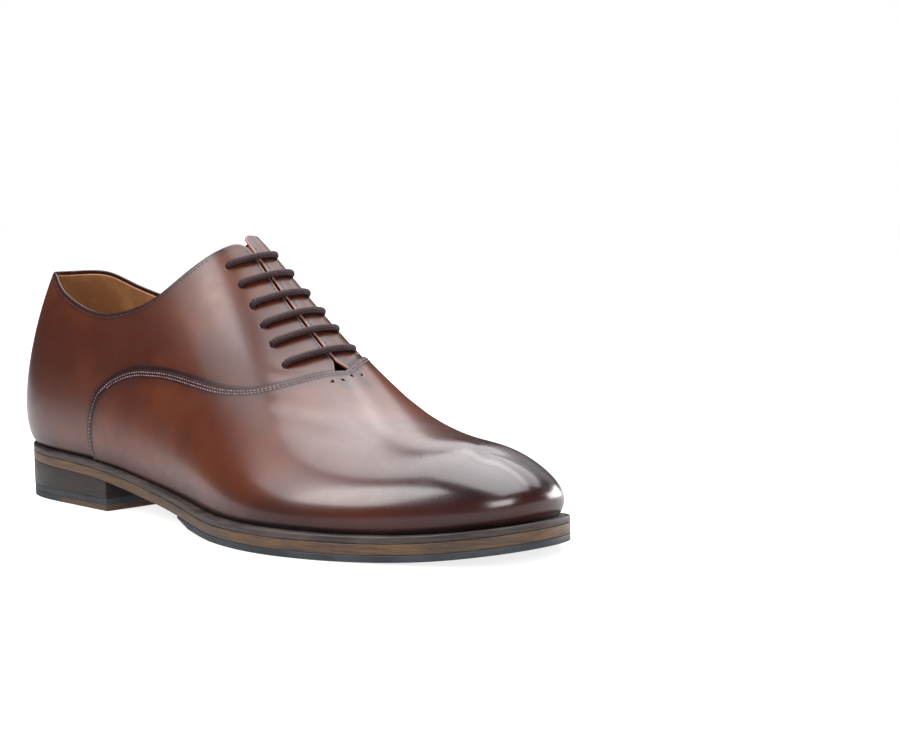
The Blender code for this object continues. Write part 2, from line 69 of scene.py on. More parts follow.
# Last: a row per section from the back of the heel to the tip of the toe, columns as in LAST_COLUMNS
LAST_COLUMNS = (
    "along", "outer", "inner", "inset", "low_out", "low_in", "low_rise",
    "crest_along", "crest_across", "crest_height", "tilt", "high_out", "high_in", "reach",
)
LAST = np.array([
    (0.000, 0.000, 0.000, 0.019, 0.324, 0.324, 0.120, 0.111, 0.000, 0.986, 0.00, 0.000, 0.000, -0.085),
    (0.023, 0.352, 0.342, 0.027, 0.301, 0.270, 0.112, 0.120, 0.000, 0.980, 0.00, 0.198, 0.180, -0.066),
    (0.085, 0.566, 0.532, 0.038, 0.234, 0.195, 0.112, 0.144, 0.000, 0.985, 0.00, 0.329, 0.330, -0.030),
    (0.174, 0.623, 0.554, 0.042, 0.185, 0.160, 0.126, 0.197, 0.015, 1.011, 0.01, 0.395, 0.430, -0.007),
    (0.272, 0.654, 0.516, 0.054, 0.157, 0.166, 0.143, 0.275, 0.045, 1.024, 0.06, 0.380, 0.490, 0.000),
    (0.380, 0.696, 0.463, 0.061, 0.139, 0.205, 0.164, 0.380, 0.105, 0.993, 0.14, 0.326, 0.640, 0.000),
    (0.492, 0.824, 0.524, 0.076, 0.130, 0.204, 0.167, 0.492, 0.100, 0.785, 0.19, 0.355, 0.720, 0.000),
    (0.603, 1.006, 0.767, 0.092, 0.116, 0.147, 0.144, 0.603, 0.080, 0.566, 0.11, 0.448, 0.730, 0.000),
    (0.711, 1.054, 0.946, 0.096, 0.106, 0.113, 0.110, 0.711, 0.045, 0.398, 0.02, 0.542, 0.705, 0.000),
    (0.813, 0.908, 0.874, 0.096, 0.103, 0.127, 0.097, 0.810, 0.015, 0.326, 0.02, 0.518, 0.642, 0.007),
    (0.902, 0.675, 0.696, 0.099, 0.110, 0.150, 0.092, 0.879, 0.000, 0.3145, 0.00, 0.379, 0.510, 0.020),
    (0.974, 0.388, 0.446, 0.103, 0.138, 0.175, 0.085, 0.908, 0.000, 0.295, 0.00, 0.225, 0.240, 0.033),
    (1.000, 0.000, 0.000, 0.107, 0.178, 0.178, 0.095, 0.918, 0.000, 0.2885, 0.00, 0.000, 0.000, 0.043),
])
# Underside of the leather sole: along, share of HEEL_LIFT, share of TOE_SPRING
UNDERSIDE = np.array([
    (0.000, 1.000, 0.000), (0.131, 0.858, 0.000), (0.279, 0.681, 0.000), (0.361, 0.454, 0.000),
    (0.459, 0.220, 0.000), (0.541, 0.050, 0.000), (0.607, -0.010, 0.000), (0.728, 0.000, -0.020),
    (0.836, 0.000, 0.040), (0.918, 0.000, 0.320), (1.000, 0.000, 1.000),
])
# Top line: along, height of the outer and of the inner quarter in INSTEP_HEIGHT
TOP_LINE = np.array([
    (0.000, 0.788, 0.788), (0.040, 0.792, 0.792), (0.075, 0.783, 0.784), (0.108, 0.748, 0.750),
    (0.150, 0.711, 0.714), (0.198, 0.679, 0.694), (0.238, 0.664, 0.718), (0.302, 0.680, 0.794),
    (0.354, 0.730, 0.860), (0.393, 0.806, 0.900), (0.416, 0.858, 0.912), (0.432, 0.890, 0.918),
    (0.455, 0.908, 0.921), (0.500, 0.922, 0.925), (0.600, 0.930, 0.930),
])
# Edge of the vamp: row of the last and share of the way from the feather line to the ridge
VAMP_HEEL_EDGE = np.array([(3.70, 0.00), (3.65, 0.10), (3.66, 0.18), (3.72, 0.24), (3.83, 0.29)])
VAMP_TOP_EDGE = np.array([
    (3.83, 0.290, 0.290), (4.08, 0.330, 0.320), (4.33, 0.356, 0.335), (4.65, 0.378, 0.347),
    (4.95, 0.392, 0.358), (5.22, 0.408, 0.370), (5.67, 0.440, 0.400), (6.12, 0.482, 0.455),
    (6.42, 0.520, 0.525), (6.70, 0.572, 0.605), (6.92, 0.632, 0.700), (7.12, 0.725, 0.820),
    (7.27, 0.845, 0.920), (7.38, 1.000, 1.000),
])
THROAT_ROW = 7.38
# Eyelets from the top: row of the last and share of the way up, outer side then inner side
EYELETS = (
    (5.62, 0.840, 5.72, 0.885),
    (5.88, 0.838, 5.95, 0.860),
    (6.14, 0.828, 6.21, 0.845),
    (6.40, 0.812, 6.47, 0.840),
    (6.65, 0.795, 6.72, 0.840),
    (6.95, 0.780, 7.02, 0.840),
)
# How far the bars bow forward between their eyelets, in rows of the last
LACE_BOW = 0.09
TOE_ROW = len(LAST) - 1
TURN = 2 * TOE_ROW
# Pinholes beyond the throat: row of the last and share of the way up
PUNCHED = ((7.475, 0.900), (7.505, 0.950), (TURN - 7.475, 0.992), (TURN - 7.475, 0.942))
EYELET_RADIUS = 1.75 * MM
EYELET_REACH = 5 * MM
PINHOLE_RADIUS = 0.62 * MM
PINHOLE_REACH = 3 * MM
# Sheets of the upper: depth of their faces in the last's wall
QUARTER_THICK = 1.2 * MM
LINING_FACE = 1.25 * MM
# Creases: place along and height in mm, half length, half width, slope in degrees, depth in mm
OUTER_CREASES = (
    (146.0, 60.5, 9.0, 1.1, -12, -0.25),
    (146.0, 62.8, 9.0, 1.2, -12, 0.22),
    (160.0, 50.0, 16.0, 2.2, -8, -0.22),
    (171.0, 44.5, 14.0, 2.0, -10, 0.15),
    (175.0, 41.5, 15.0, 2.0, -12, -0.18),
    (60.0, 53.5, 15.0, 3.0, 0, -0.15),
)
INNER_CREASES = (
    (158.0, 50.0, 16.0, 2.2, -8, -0.2),
    (172.0, 43.5, 14.0, 2.0, -10, -0.15),
)
# Stitches, in mm: distances of their rows from the edge, pitch and width
SEAM_ROWS = (1.3, 2.55)
SEAM_PITCH = 1.6
SEAM_WIDTH = 0.64
COLLAR_ROW = 2.0
SLIT_ROW = 1.5
RIM_PITCH = 1.9
RIM_WIDTH = 0.46
STITCH_SHARE = 0.66
# Point of the vamp's edge at which its second row of stitches starts
SECOND_ROW_START = 184
# How much faster the seam's darkening fades on the quarters than on the vamp; on the quarters it is painted
# shade beside the vamp's raised edge
QUARTER_SEAM = 2.4
# Toe that is evened out, in mm: radius, its fade, height from which on, and its fade
TOE_CIRCLE = (24, 10, 20, 6)
TOE_PASSES = 160


# Shape of the last, as in the solids


def unit(vectors):
    """Directions of length one."""
    return vectors / np.linalg.norm(vectors, axis=-1, keepdims=True)


def run_of(points):
    """Length of the way from the first point to each one."""
    return np.concatenate([[0], np.cumsum(np.linalg.norm(np.diff(points, axis=0), axis=1))])


def closed_spline(points, at):
    """Smooth closed curve through the rows of points, read at the row numbers in at."""
    points = np.asarray(points, float)
    count = len(points)
    one = np.eye(count)
    system = 4 * one + np.roll(one, 1, 1) + np.roll(one, -1, 1)
    turns = np.linalg.solve(system, 3 * (np.roll(points, -1, 0) - np.roll(points, 1, 0)))
    at = np.atleast_1d(np.asarray(at, float)) % count
    low = np.floor(at).astype(int) % count
    high = (low + 1) % count
    t = (at - np.floor(at))[:, None]
    return (
        (2 * t**3 - 3 * t**2 + 1) * points[low]
        + (t**3 - 2 * t**2 + t) * turns[low]
        + (3 * t**2 - 2 * t**3) * points[high]
        + (t**3 - t**2) * turns[high]
    )


def open_spline(table, column, at):
    """Smooth curve through one column of a table against its first column."""
    xs, ys = table[:, 0], table[:, column]
    count = len(xs)
    steps = np.diff(xs)
    system = np.eye(count)
    right = np.zeros(count)
    for row in range(1, count - 1):
        system[row, row - 1] = steps[row - 1]
        system[row, row] = 2 * (steps[row - 1] + steps[row])
        system[row, row + 1] = steps[row]
        climb = (ys[row + 1] - ys[row]) / steps[row]
        right[row] = 6 * (climb - (ys[row] - ys[row - 1]) / steps[row - 1])
    bend = np.linalg.solve(system, right)
    at = np.asarray(at, float)
    low = np.clip(np.searchsorted(xs, at) - 1, 0, count - 2)
    step = steps[low]
    left = xs[low + 1] - at
    done = at - xs[low]
    return (
        (bend[low] * left**3 + bend[low + 1] * done**3) / (6 * step)
        + (ys[low] / step - bend[low] * step / 6) * left
        + (ys[low + 1] / step - bend[low + 1] * step / 6) * done
    )


def along_share(x):
    """Share of the sole's length at a place along it."""
    return (np.asarray(x, float) + HEEL_CENTRE) / SOLE_LENGTH


def outsole_under(x):
    """Height of the leather sole's underside."""
    share = along_share(x)
    lift = open_spline(UNDERSIDE, 1, share) * HEEL_LIFT
    spring = open_spline(UNDERSIDE, 2, share) * TOE_SPRING
    return RUBBER + GAP + np.maximum(lift + spring, 0)


def outsole_top(x):
    """Height of the leather sole's upper face."""
    return outsole_under(x) + OUTSOLE


def welt_top(x):
    """Height of the welt's upper face."""
    return outsole_top(x) + GAP + WELT


def column(name):
    """One column of the last's table for the outer side, then the inner side back to the heel."""
    partner = {"outer": "inner", "low_out": "low_in", "high_out": "high_in"}.get(name, name)
    outer = LAST[:, LAST_COLUMNS.index(name)]
    inner = LAST[:, LAST_COLUMNS.index(partner)]
    return np.concatenate([outer, inner[-2:0:-1]])


SIDE = np.concatenate([-np.ones(TOE_ROW + 1), np.ones(TOE_ROW - 1)])


def edge_and_outward(at):
    """Points of the sole's outline and the directions that point out of it."""
    along = column("along") * SOLE_LENGTH - HEEL_CENTRE
    ring = np.column_stack([along, SIDE * column("outer") * HALF_BALL])
    step = 0.02
    tangent = closed_spline(ring, at + step) - closed_spline(ring, at - step)
    return closed_spline(ring, at), unit(np.column_stack([tangent[:, 1], -tangent[:, 0]]))


def control_rings():
    """Feather line, bulge, shoulder and ridge of the last, each a ring of points."""
    edge, outward = edge_and_outward(np.arange(TURN, dtype=float))
    feather = edge - outward * column("inset")[:, None] * HALF_BALL
    bulge = feather + outward * column("low_out")[:, None] * HALF_BALL
    base = welt_top(feather[:, 0]) + GAP
    ridge_x = column("crest_along") * SOLE_LENGTH - HEEL_CENTRE
    ridge_z = column("crest_height") * INSTEP_HEIGHT
    ridge_y = column("crest_across") * HALF_BALL
    half = TOE_ROW + 1
    slope = np.gradient(ridge_z[:half], ridge_x[:half])
    slope = np.concatenate([slope, slope[-2:0:-1]])
    reach = column("reach") * SOLE_LENGTH
    shoulder_y = SIDE * column("high_out") * HALF_BALL
    shoulder_z = ridge_z + slope * reach + column("tilt") * (shoulder_y - ridge_y)
    return (
        np.column_stack([feather, base]),
        np.column_stack([bulge, base + column("low_rise") * INSTEP_HEIGHT]),
        np.column_stack([ridge_x + reach, shoulder_y, shoulder_z]),
        np.column_stack([ridge_x, ridge_y, ridge_z]),
    )


RINGS = control_rings()


def last_point(row, rise):
    """Points of the last: rise goes from 0 at the feather line to 1 at the ridge."""
    row, rise = np.broadcast_arrays(np.asarray(row, float), np.asarray(rise, float))
    feather, bulge, shoulder, ridge = [closed_spline(ring, row) for ring in RINGS]
    up = rise.reshape(-1, 1)
    down = 1 - up
    return feather * down**3 + 3 * bulge * up * down**2 + 3 * shoulder * up**2 * down + ridge * up**3


def square_to(row, rise):
    """Directions square to the last, pointing out of it."""
    step = 0.01
    near_tip = np.abs(row - TOE_ROW) < 2.5
    rise = np.where(near_tip, np.minimum(rise, 0.96), rise)
    across = last_point(row + step, rise) - last_point(row - step, rise)
    upward = last_point(row, rise + step) - last_point(row, rise - step)
    return unit(np.cross(across, upward))


def skin(row, rise, out=0.0):
    """Points at a distance out of the last; a rise over 1 goes on down the other side."""
    row, rise, out = np.broadcast_arrays(np.atleast_1d(np.asarray(row, float)), rise, out)
    row = row % TURN
    over = rise > 1
    row = np.where(over, TURN - row, row)
    rise = np.where(over, 2 - rise, rise)
    square = square_to(row, rise)
    both = unit(square + square_to(TURN - row, rise))
    on_ridge = (rise > 0.9995)[:, None]
    return last_point(row, rise) + np.where(on_ridge, both, square) * np.reshape(out, (-1, 1))


def on_last(line):
    """Points of the last along a line of rows and rises."""
    return skin(line[:, 0], line[:, 1])


def skin_grid(rows, rises, out):
    """A grid of points off the last; there is a row for each rise."""
    return skin(rows, rises.ravel(), np.ravel(out)).reshape(*rises.shape, 3)


def from_the_heel(rows):
    """Rows counted from the heel on both sides."""
    return np.where(rows > TOE_ROW, TURN - rows, rows)


# Lines on the last where the leather ends


def room_to_rim(row, rise):
    """How far inside the top line and the slit each point lies, with the facing's corner rounded."""
    points = last_point(row, rise)
    inner = row % TURN > TOE_ROW
    share = along_share(points[:, 0])
    shown = np.clip(share, 0, 0.6)
    outer_top, inner_top = open_spline(TOP_LINE, 1, shown), open_spline(TOP_LINE, 2, shown)
    top = np.where(inner, inner_top, outer_top) * INSTEP_HEIGHT
    under = np.where(share < 0.6, top - points[:, 2], 1.0)
    ridge = last_point(np.linspace(0, TOE_ROW, 241), 1.0)
    middle = np.interp(points[:, 0], ridge[:, 0], ridge[:, 1])
    spread = np.clip((share - 0.626) / 0.018, 0, 1)
    half = SLIT / 2 + (THROAT_GAP / 2 - SLIT / 2) * spread
    beside = np.where(share > 0.4, np.abs(points[:, 1] - middle) - half, 1.0)
    bend = np.where(inner, 2.6, 5.0) * MM
    corner = bend - np.hypot(np.maximum(bend - under, 0), np.maximum(bend - beside, 0))
    return np.where((under < bend) & (beside < bend), corner, np.minimum(under, beside))


def rim_rise(rows):
    """Share of the way up at which the quarters end on each row."""
    rises = np.linspace(0.25, 1, 301)
    found = []
    for row in rows:
        room = room_to_rim(np.full(rises.shape, row), rises)
        ended = np.argmax(room < 0) if (room < 0).any() else len(rises) - 1
        low, high = rises[max(ended - 1, 0)], rises[ended]
        for _ in range(3):
            fine = np.linspace(low, high, 9)
            room = room_to_rim(np.full(fine.shape, row), fine)
            place = np.argmax(room < 0) if (room < 0).any() else 8
            low, high = fine[max(place - 1, 0)], fine[place]
        found.append(high)
    return np.array(found)


def vamp_edge(side_rows, inner):
    """Share of the way up at which the vamp ends on each row, counted from the heel."""
    return open_spline(VAMP_TOP_EDGE, 2 if inner else 1, side_rows)


def vamp_edge_line(inner):
    """Rows and rises along the vamp's edge on one side, from the sole to the throat."""
    up = np.linspace(0, VAMP_HEEL_EDGE[-1, 1], 160)[:-1]
    back = np.column_stack([open_spline(VAMP_HEEL_EDGE[:, ::-1], 1, up), up])
    first = VAMP_TOP_EDGE[0, 0]
    rows = first + (THROAT_ROW - first) * (1 - (1 - np.linspace(0, 1, 700)) ** 1.6)
    front = np.column_stack([rows, np.minimum(vamp_edge(rows, inner), 1)])
    line = np.vstack([back, front])
    if inner:
        line[:, 0] = TURN - line[:, 0]
    return line


def even(line, pitch):
    """Rows and rises spaced evenly along a line on the last."""
    length = run_of(on_last(line))
    count = max(int(round(length[-1] / pitch)), 2)
    at = np.linspace(0, length[-1], count + 1)
    return np.column_stack([np.interp(at, length, line[:, 0]), np.interp(at, length, line[:, 1])])


def moved_aside(line, distance):
    """A line on the last moved sideways in the leather; a positive distance goes to its right."""
    row, rise = line[:, 0].copy(), line[:, 1].copy()
    start = skin(row, rise)
    ahead = unit(np.gradient(start, axis=0))
    square = square_to(row, np.clip(rise, 0, 1))
    goal = start + np.cross(ahead, square) * distance
    for _ in range(4):
        miss = goal - skin(row, rise)
        step = 0.004
        by_row = (skin(row + step, rise) - skin(row - step, rise)) / (2 * step)
        by_rise = (skin(row, rise + step) - skin(row, rise - step)) / (2 * step)
        a = (by_row * by_row).sum(1)
        b = (by_row * by_rise).sum(1)
        c = (by_rise * by_rise).sum(1)
        p = (by_row * miss).sum(1)
        q = (by_rise * miss).sum(1)
        whole = a * c - b * b
        row += (c * p - b * q) / whole
        rise += (a * q - b * p) / whole
    return np.column_stack([row, rise])


def distance_to(points, line_points):
    """Distance from each point to the nearest of a line's points."""
    tree = kdtree.KDTree(len(line_points))
    for index, place in enumerate(line_points):
        tree.insert(place, index)
    tree.balance()
    return np.array([tree.find(place)[2] for place in points])


EDGE_OUTER = even(vamp_edge_line(False), 0.25 * MM)
EDGE_INNER = even(vamp_edge_line(True), 0.25 * MM)
EDGE_POINTS = np.vstack([on_last(EDGE_OUTER), on_last(EDGE_INNER)])

QUARTER_END = 7.62
RIM_ROWS = np.unique(np.concatenate([
    np.arange(0, QUARTER_END + 0.001, 0.045), np.arange(5.0, 5.7, 0.015), np.arange(0, 0.5, 0.03),
]).round(4))
RIM_OUTER = rim_rise(RIM_ROWS)
RIM_INNER = rim_rise(-RIM_ROWS)
COLLAR_POINTS = np.vstack([skin(RIM_ROWS, RIM_OUTER), skin(-RIM_ROWS, RIM_INNER)])
BY_SLIT = RIM_ROWS > 5.45
SLIT_POINTS = np.vstack([
    skin(RIM_ROWS[BY_SLIT], RIM_OUTER[BY_SLIT]), skin(-RIM_ROWS[BY_SLIT], RIM_INNER[BY_SLIT]),
])


def rim_line(inner, start, stop):
    """Rows and rises along the rim of one quarter."""
    rows = np.linspace(start, stop, 900)
    rises = np.interp(rows, RIM_ROWS, RIM_INNER if inner else RIM_OUTER)
    return np.column_stack([TURN - rows if inner else rows, rises])


# Relief of the leather


def creases(points, inner):
    """How far the leather stands out or sinks in at its creases and puckers."""
    x, z = points[:, 0] / MM, points[:, 2] / MM
    out = np.zeros(len(points))
    for along, height, length, width, angle, depth in INNER_CREASES if inner else OUTER_CREASES:
        turn = np.radians(angle)
        lengthwise = (x - along) * np.cos(turn) + (z - height) * np.sin(turn)
        across = (z - height) * np.cos(turn) - (x - along) * np.sin(turn)
        out += depth * MM * np.exp(-((lengthwise / length) ** 2) - (across / width) ** 2)
    return out


# Making meshes


def pick(piece):
    """Selects one piece alone and makes it the active one."""
    bpy.ops.object.select_all(action="DESELECT")
    piece.select_set(True)
    bpy.context.view_layer.objects.active = piece


def apply_step(piece, step):
    """Applies one modifier of a piece."""
    pick(piece)
    bpy.ops.object.modifier_apply(modifier=step.name)


def placed(first, second, third, spot):
    """Matrix that turns X, Y and Z to three directions and moves the origin to a spot."""
    return Matrix([*np.column_stack([first, second, third, spot]).tolist(), (0, 0, 0, 1)])


def new_piece(name, points, faces, merge=0.0):
    """A smooth mesh object from points and faces."""
    mesh = bpy.data.meshes.new(name)
    mesh.from_pydata([tuple(point) for point in points], [], faces)
    if merge:
        form = bmesh.new()
        form.from_mesh(mesh)
        bmesh.ops.remove_doubles(form, verts=form.verts, dist=merge)
        bmesh.ops.dissolve_degenerate(form, dist=merge, edges=form.edges)
        form.to_mesh(mesh)
        form.free()
    mesh.validate()
    mesh.shade_smooth()
    piece = bpy.data.objects.new(name, mesh)
    bpy.context.scene.collection.objects.link(piece)
    return piece


def keep_measure(piece, name, values):
    """Stores one number per vertex for the materials."""
    layer = piece.data.attributes.new(name, "FLOAT", "POINT")
    layer.data.foreach_set("value", np.asarray(values, np.float32))


def vertex_points(piece):
    """The vertices of a piece as rows of numbers."""
    flat = np.empty(len(piece.data.vertices) * 3)
    piece.data.vertices.foreach_get("co", flat)
    return flat.reshape(-1, 3)


def graded_rises(rows, rims, near, many):
    """Rises down each row: at set distances below its end, then evenly to the feather line."""
    grow = np.linalg.norm(last_point(rows, rims) - last_point(rows, rims - 0.01), axis=1) / 0.01
    fixed = rims[:, None] - np.asarray(near)[None, :] / grow[:, None]
    rest = fixed[:, -1:] * (1 - np.arange(1, many + 1) / many)[None, :]
    return np.hstack([fixed, rest])


def leather_sheet(name, outside, inside, walled, closed=False):
    """Closed sheet between two grids of points, columns by bands; walled marks the columns with a rim."""
    columns, bands = outside.shape[:2]
    points = np.vstack([outside.reshape(-1, 3), inside.reshape(-1, 3)])
    under = columns * bands
    faces = []
    last = columns if closed else columns - 1
    for here in range(last):
        there = (here + 1) % columns
        for band in range(bands - 1):
            a, b = here * bands + band, there * bands + band
            faces.append((a + 1, b + 1, b, a))
            faces.append((under + a, under + b, under + b + 1, under + a + 1))
        a, b = here * bands, there * bands
        if walled[here] and walled[there]:
            faces.append((a, b, under + b, under + a))
        a, b = a + bands - 1, b + bands - 1
        faces.append((b, a, under + a, under + b))
    if not closed:
        for band in range(bands - 1):
            faces.append((band, under + band, under + band + 1, band + 1))
            a = (columns - 1) * bands + band
            faces.append((a + 1, under + a + 1, under + a, a))
    return new_piece(name, points, faces, merge=0.002 * MM)


NEAR_EDGE = np.array([0, 0.06, 0.16, 0.32, 0.55, 0.85, 1.2, 1.6, 2.1, 2.7, 3.4, 4.2, 5.2, 6.4]) * MM


def rounded(distance, radius):
    """Share of its full height that a rounded edge has reached at a distance from it."""
    share = np.clip(distance / radius, 0, 1)
    return np.sqrt(1 - (1 - share) ** 2)


def quarters():
    """Both quarters in one piece round the heel, with rolled top line and facings."""
    side = RIM_ROWS
    rows = np.concatenate([-side[::-1], side[1:]])
    rims = np.concatenate([RIM_INNER[::-1], RIM_OUTER[1:]])
    rises = graded_rises(rows, rims, NEAR_EDGE, 52)
    grid = rises.shape
    every = np.repeat(rows, grid[1])
    flat = last_point(every, rises.ravel())
    from_rim = distance_to(flat, COLLAR_POINTS).reshape(grid)
    from_rim[:, 0] = 0
    from_seam = distance_to(flat, EDGE_POINTS)
    drop = (rounded(from_rim, 0.8 * MM) - 1) * 0.7 * MM
    relief = np.where(every < 0, creases(flat, True), creases(flat, False))
    relief *= np.clip((from_seam - 1 * MM) / (3 * MM), 0, 1)
    back = -0.25 * MM * np.exp(-((flat[:, 1] / (0.35 * MM)) ** 2)) * (np.abs(every) < 0.5)
    outside = skin_grid(every, rises, drop.ravel() + relief + back)
    inside = skin_grid(every, rises, -QUARTER_THICK + (1 - rounded(from_rim, 0.8 * MM)) * 0.45 * MM)
    return leather_sheet("quarters", outside, inside, np.ones(len(rows), bool))


def vamp():
    """The vamp, lapped over the quarters with a raised edge."""
    first = VAMP_TOP_EDGE[0, 0]
    back = first + np.array([0, 0.004, 0.01, 0.02, 0.034, 0.052, 0.075, 0.105, 0.14, 0.18])
    middle = np.arange(first + 0.22, 7.0, 0.045)
    throat = THROAT_ROW - np.array([
        0.34, 0.3, 0.26, 0.22, 0.18, 0.14, 0.11, 0.08, 0.055, 0.035, 0.02, 0.01, 0.004, 0,
    ])
    beyond = THROAT_ROW + np.array([0.003, 0.008, 0.016, 0.028, 0.045, 0.07, 0.1, 0.135])
    front = np.arange(THROAT_ROW + 0.17, 10.6, 0.045)
    tip = np.linspace(10.62, TOE_ROW, 34)
    side = np.concatenate([back, middle, throat, beyond, front, tip])
    rows = np.concatenate([side, TURN - side[-2::-1]])
    from_heel = from_the_heel(rows)
    open_top = from_heel < THROAT_ROW + 0.0001
    tops = np.ones(len(rows))
    for place in np.flatnonzero(open_top):
        tops[place] = vamp_edge(from_heel[place], rows[place] > TOE_ROW)
    tops = np.minimum(tops, 1.0)
    rises = graded_rises(rows, tops, NEAR_EDGE, 56)
    grid = rises.shape
    lean_share = np.clip(1 - (from_heel - first) / 0.6, 0, 1)
    edge = open_spline(VAMP_HEEL_EDGE[:, ::-1], 1, np.clip(rises, 0, VAMP_HEEL_EDGE[-1, 1]))
    lean = (edge - first) * lean_share[:, None]
    every = (rows[:, None] + np.where((rows > TOE_ROW)[:, None], -lean, lean)).ravel()
    flat = last_point(every, rises.ravel())
    from_seam = distance_to(flat, EDGE_POINTS).reshape(grid)
    from_seam[open_top, 0] = 0
    from_seam[0] = 0
    from_seam[-1] = 0
    relief = np.where(every > TOE_ROW, creases(flat, True), creases(flat, False))
    relief *= np.clip((from_seam.ravel() - 5 * MM) / (4 * MM), 0, 1)
    step = 0.03 * MM + (VAMP_STEP - 0.03 * MM) * rounded(from_seam, 0.45 * MM)
    outside = skin_grid(every, rises, step.ravel() + relief)
    inside = skin_grid(every, rises, -0.05 * MM)
    return leather_sheet("vamp", outside, inside, open_top)


def even_out(piece):
    """Relaxes the toe of the vamp, where the rows of both sides run together."""
    group = piece.vertex_groups.new(name="toe")
    points = vertex_points(piece)
    tip = last_point(TOE_ROW, 1.0)[0]
    radius, fade, low, rise = np.array(TOE_CIRCLE) * MM
    away = np.hypot(points[:, 0] - tip[0], points[:, 1] - tip[1])
    shares = np.clip((radius - away) / fade, 0, 1)
    shares *= np.clip((points[:, 2] - low) / rise, 0, 1)
    for index in np.flatnonzero(shares):
        group.add([int(index)], float(shares[index]), "REPLACE")
    step = piece.modifiers.new("Relax", "SMOOTH")
    step.factor = 0.5
    step.iterations = TOE_PASSES
    step.vertex_group = group.name
    apply_step(piece, step)
    piece.vertex_groups.clear()


def lining():
    """Thin lining inside the whole upper."""
    side = np.unique(np.concatenate([RIM_ROWS, np.arange(QUARTER_END, TOE_ROW + 0.01, 0.12), [TOE_ROW]]))
    rows = np.concatenate([side, TURN - side[-2:0:-1]])
    from_heel = from_the_heel(rows)
    tops = np.where(
        rows > TOE_ROW,
        np.interp(from_heel, RIM_ROWS, RIM_INNER, right=1.0),
        np.interp(from_heel, RIM_ROWS, RIM_OUTER, right=1.0),
    )
    shut = from_heel > QUARTER_END - 0.001
    tops = np.where(shut, 1.0, tops - 0.012)
    rises = graded_rises(rows, tops, np.array([0, 0.1, 0.25, 0.5, 1.0, 2.0]) * MM, 24)
    every = np.repeat(rows, rises.shape[1])
    outside = skin_grid(every, rises, -LINING_FACE)
    roll = np.zeros(rises.shape)
    roll[:, 0] = 0.25 * MM
    roll[:, 1] = 0.1 * MM
    inside = skin_grid(every, rises, -WALL + np.where(shut[:, None], 0, roll))
    return leather_sheet("lining", outside, inside, ~shut, closed=True)


def tongue():
    """Tongue under both facings."""
    side = np.linspace(5.60, 7.9, 60)
    depth = -(WALL + LACE + 4 * GAP)
    rises = np.linspace(0.80, 1.20, 49)
    every, up = np.meshgrid(side, rises, indexing="ij")
    outside = skin_grid(every.ravel(), up, depth)[:, ::-1]
    inside = skin_grid(every.ravel(), up, depth - TONGUE)[:, ::-1]
    return leather_sheet("tongue_leather", outside, inside, np.ones(len(side), bool))


# Sole


def sole_sides(inset, feather):
    """Both sides of the outline moved inward, as sorted places along and across."""
    at = np.linspace(0, TURN, 24 * 60 + 1)
    edge, outward = edge_and_outward(at)
    amount = np.full(at.shape, float(inset))
    if feather:
        amount = amount + closed_spline(column("inset")[:, None], at)[:, 0] * HALF_BALL
    moved = edge - outward * amount[:, None]
    half = len(at) // 2
    return moved[: half + 1], moved[half:][::-1]


def plate(name, layers, start=None, stop=None, feather=False, steps=220):
    """Plate with the sole's outline; a layer is an inset and a height at each place along."""
    spread = (1 - np.cos(np.linspace(0, np.pi, steps + 1))) / 2
    rings = []
    for inset, height in layers:
        outer, inner = sole_sides(inset, feather)
        low = outer[0, 0] if start is None else start
        high = outer[-1, 0] if stop is None else stop
        x = low + (high - low) * spread
        z = height(x)
        rings.append((
            np.column_stack([x, np.interp(x, outer[:, 0], outer[:, 1]), z]),
            np.column_stack([x, np.interp(x, inner[:, 0], inner[:, 1]), z]),
        ))
    points = [point for ring in rings for half in ring for point in half]
    run = steps + 1
    ring_size = 2 * run
    top = ring_size * (len(rings) - 1)
    faces = []
    for step in range(steps):
        faces.append((step, run + step, run + step + 1, step + 1))
        faces.append((top + step, top + step + 1, top + run + step + 1, top + run + step))
    for layer in range(len(rings) - 1):
        here = ring_size * layer
        there = here + ring_size
        for step in range(steps):
            faces.append((here + step, here + step + 1, there + step + 1, there + step))
            low, high = here + run + step, there + run + step
            faces.append((low + 1, low, high, high + 1))
        if start is not None:
            faces.append((here + run, here, there, there + run))
        if stop is not None:
            faces.append((here + steps, here + run + steps, there + run + steps, there + steps))
    piece = new_piece(name, points, faces, merge=0.004 * MM)
    soften(piece, 35)
    return piece


def soften(piece, angle):
    """Shades a piece smooth apart from its sharp edges."""
    pick(piece)
    bpy.ops.object.shade_smooth_by_angle(angle=np.radians(angle))


def level(height):
    """The same height at every place along."""
    return lambda x: np.full(np.shape(x), height)


def off(face, rise):
    """A face moved up or down."""
    return lambda x: face(x) + rise


def edge_profile(under, over, round_off, inset=0.0):
    """Layers of a plate whose edge is rounded off at the bottom and the top."""
    turns = np.radians([0, 22, 45, 68, 90])
    layers = []
    for face, sign, order in ((under, 1, turns), (over, -1, turns[::-1])):
        for turn in order:
            rise = sign * round_off * (1 - np.cos(turn))
            layers.append((
                inset + round_off * (1 - np.sin(turn)), lambda x, face=face, rise=rise: face(x) + rise,
            ))
    return layers


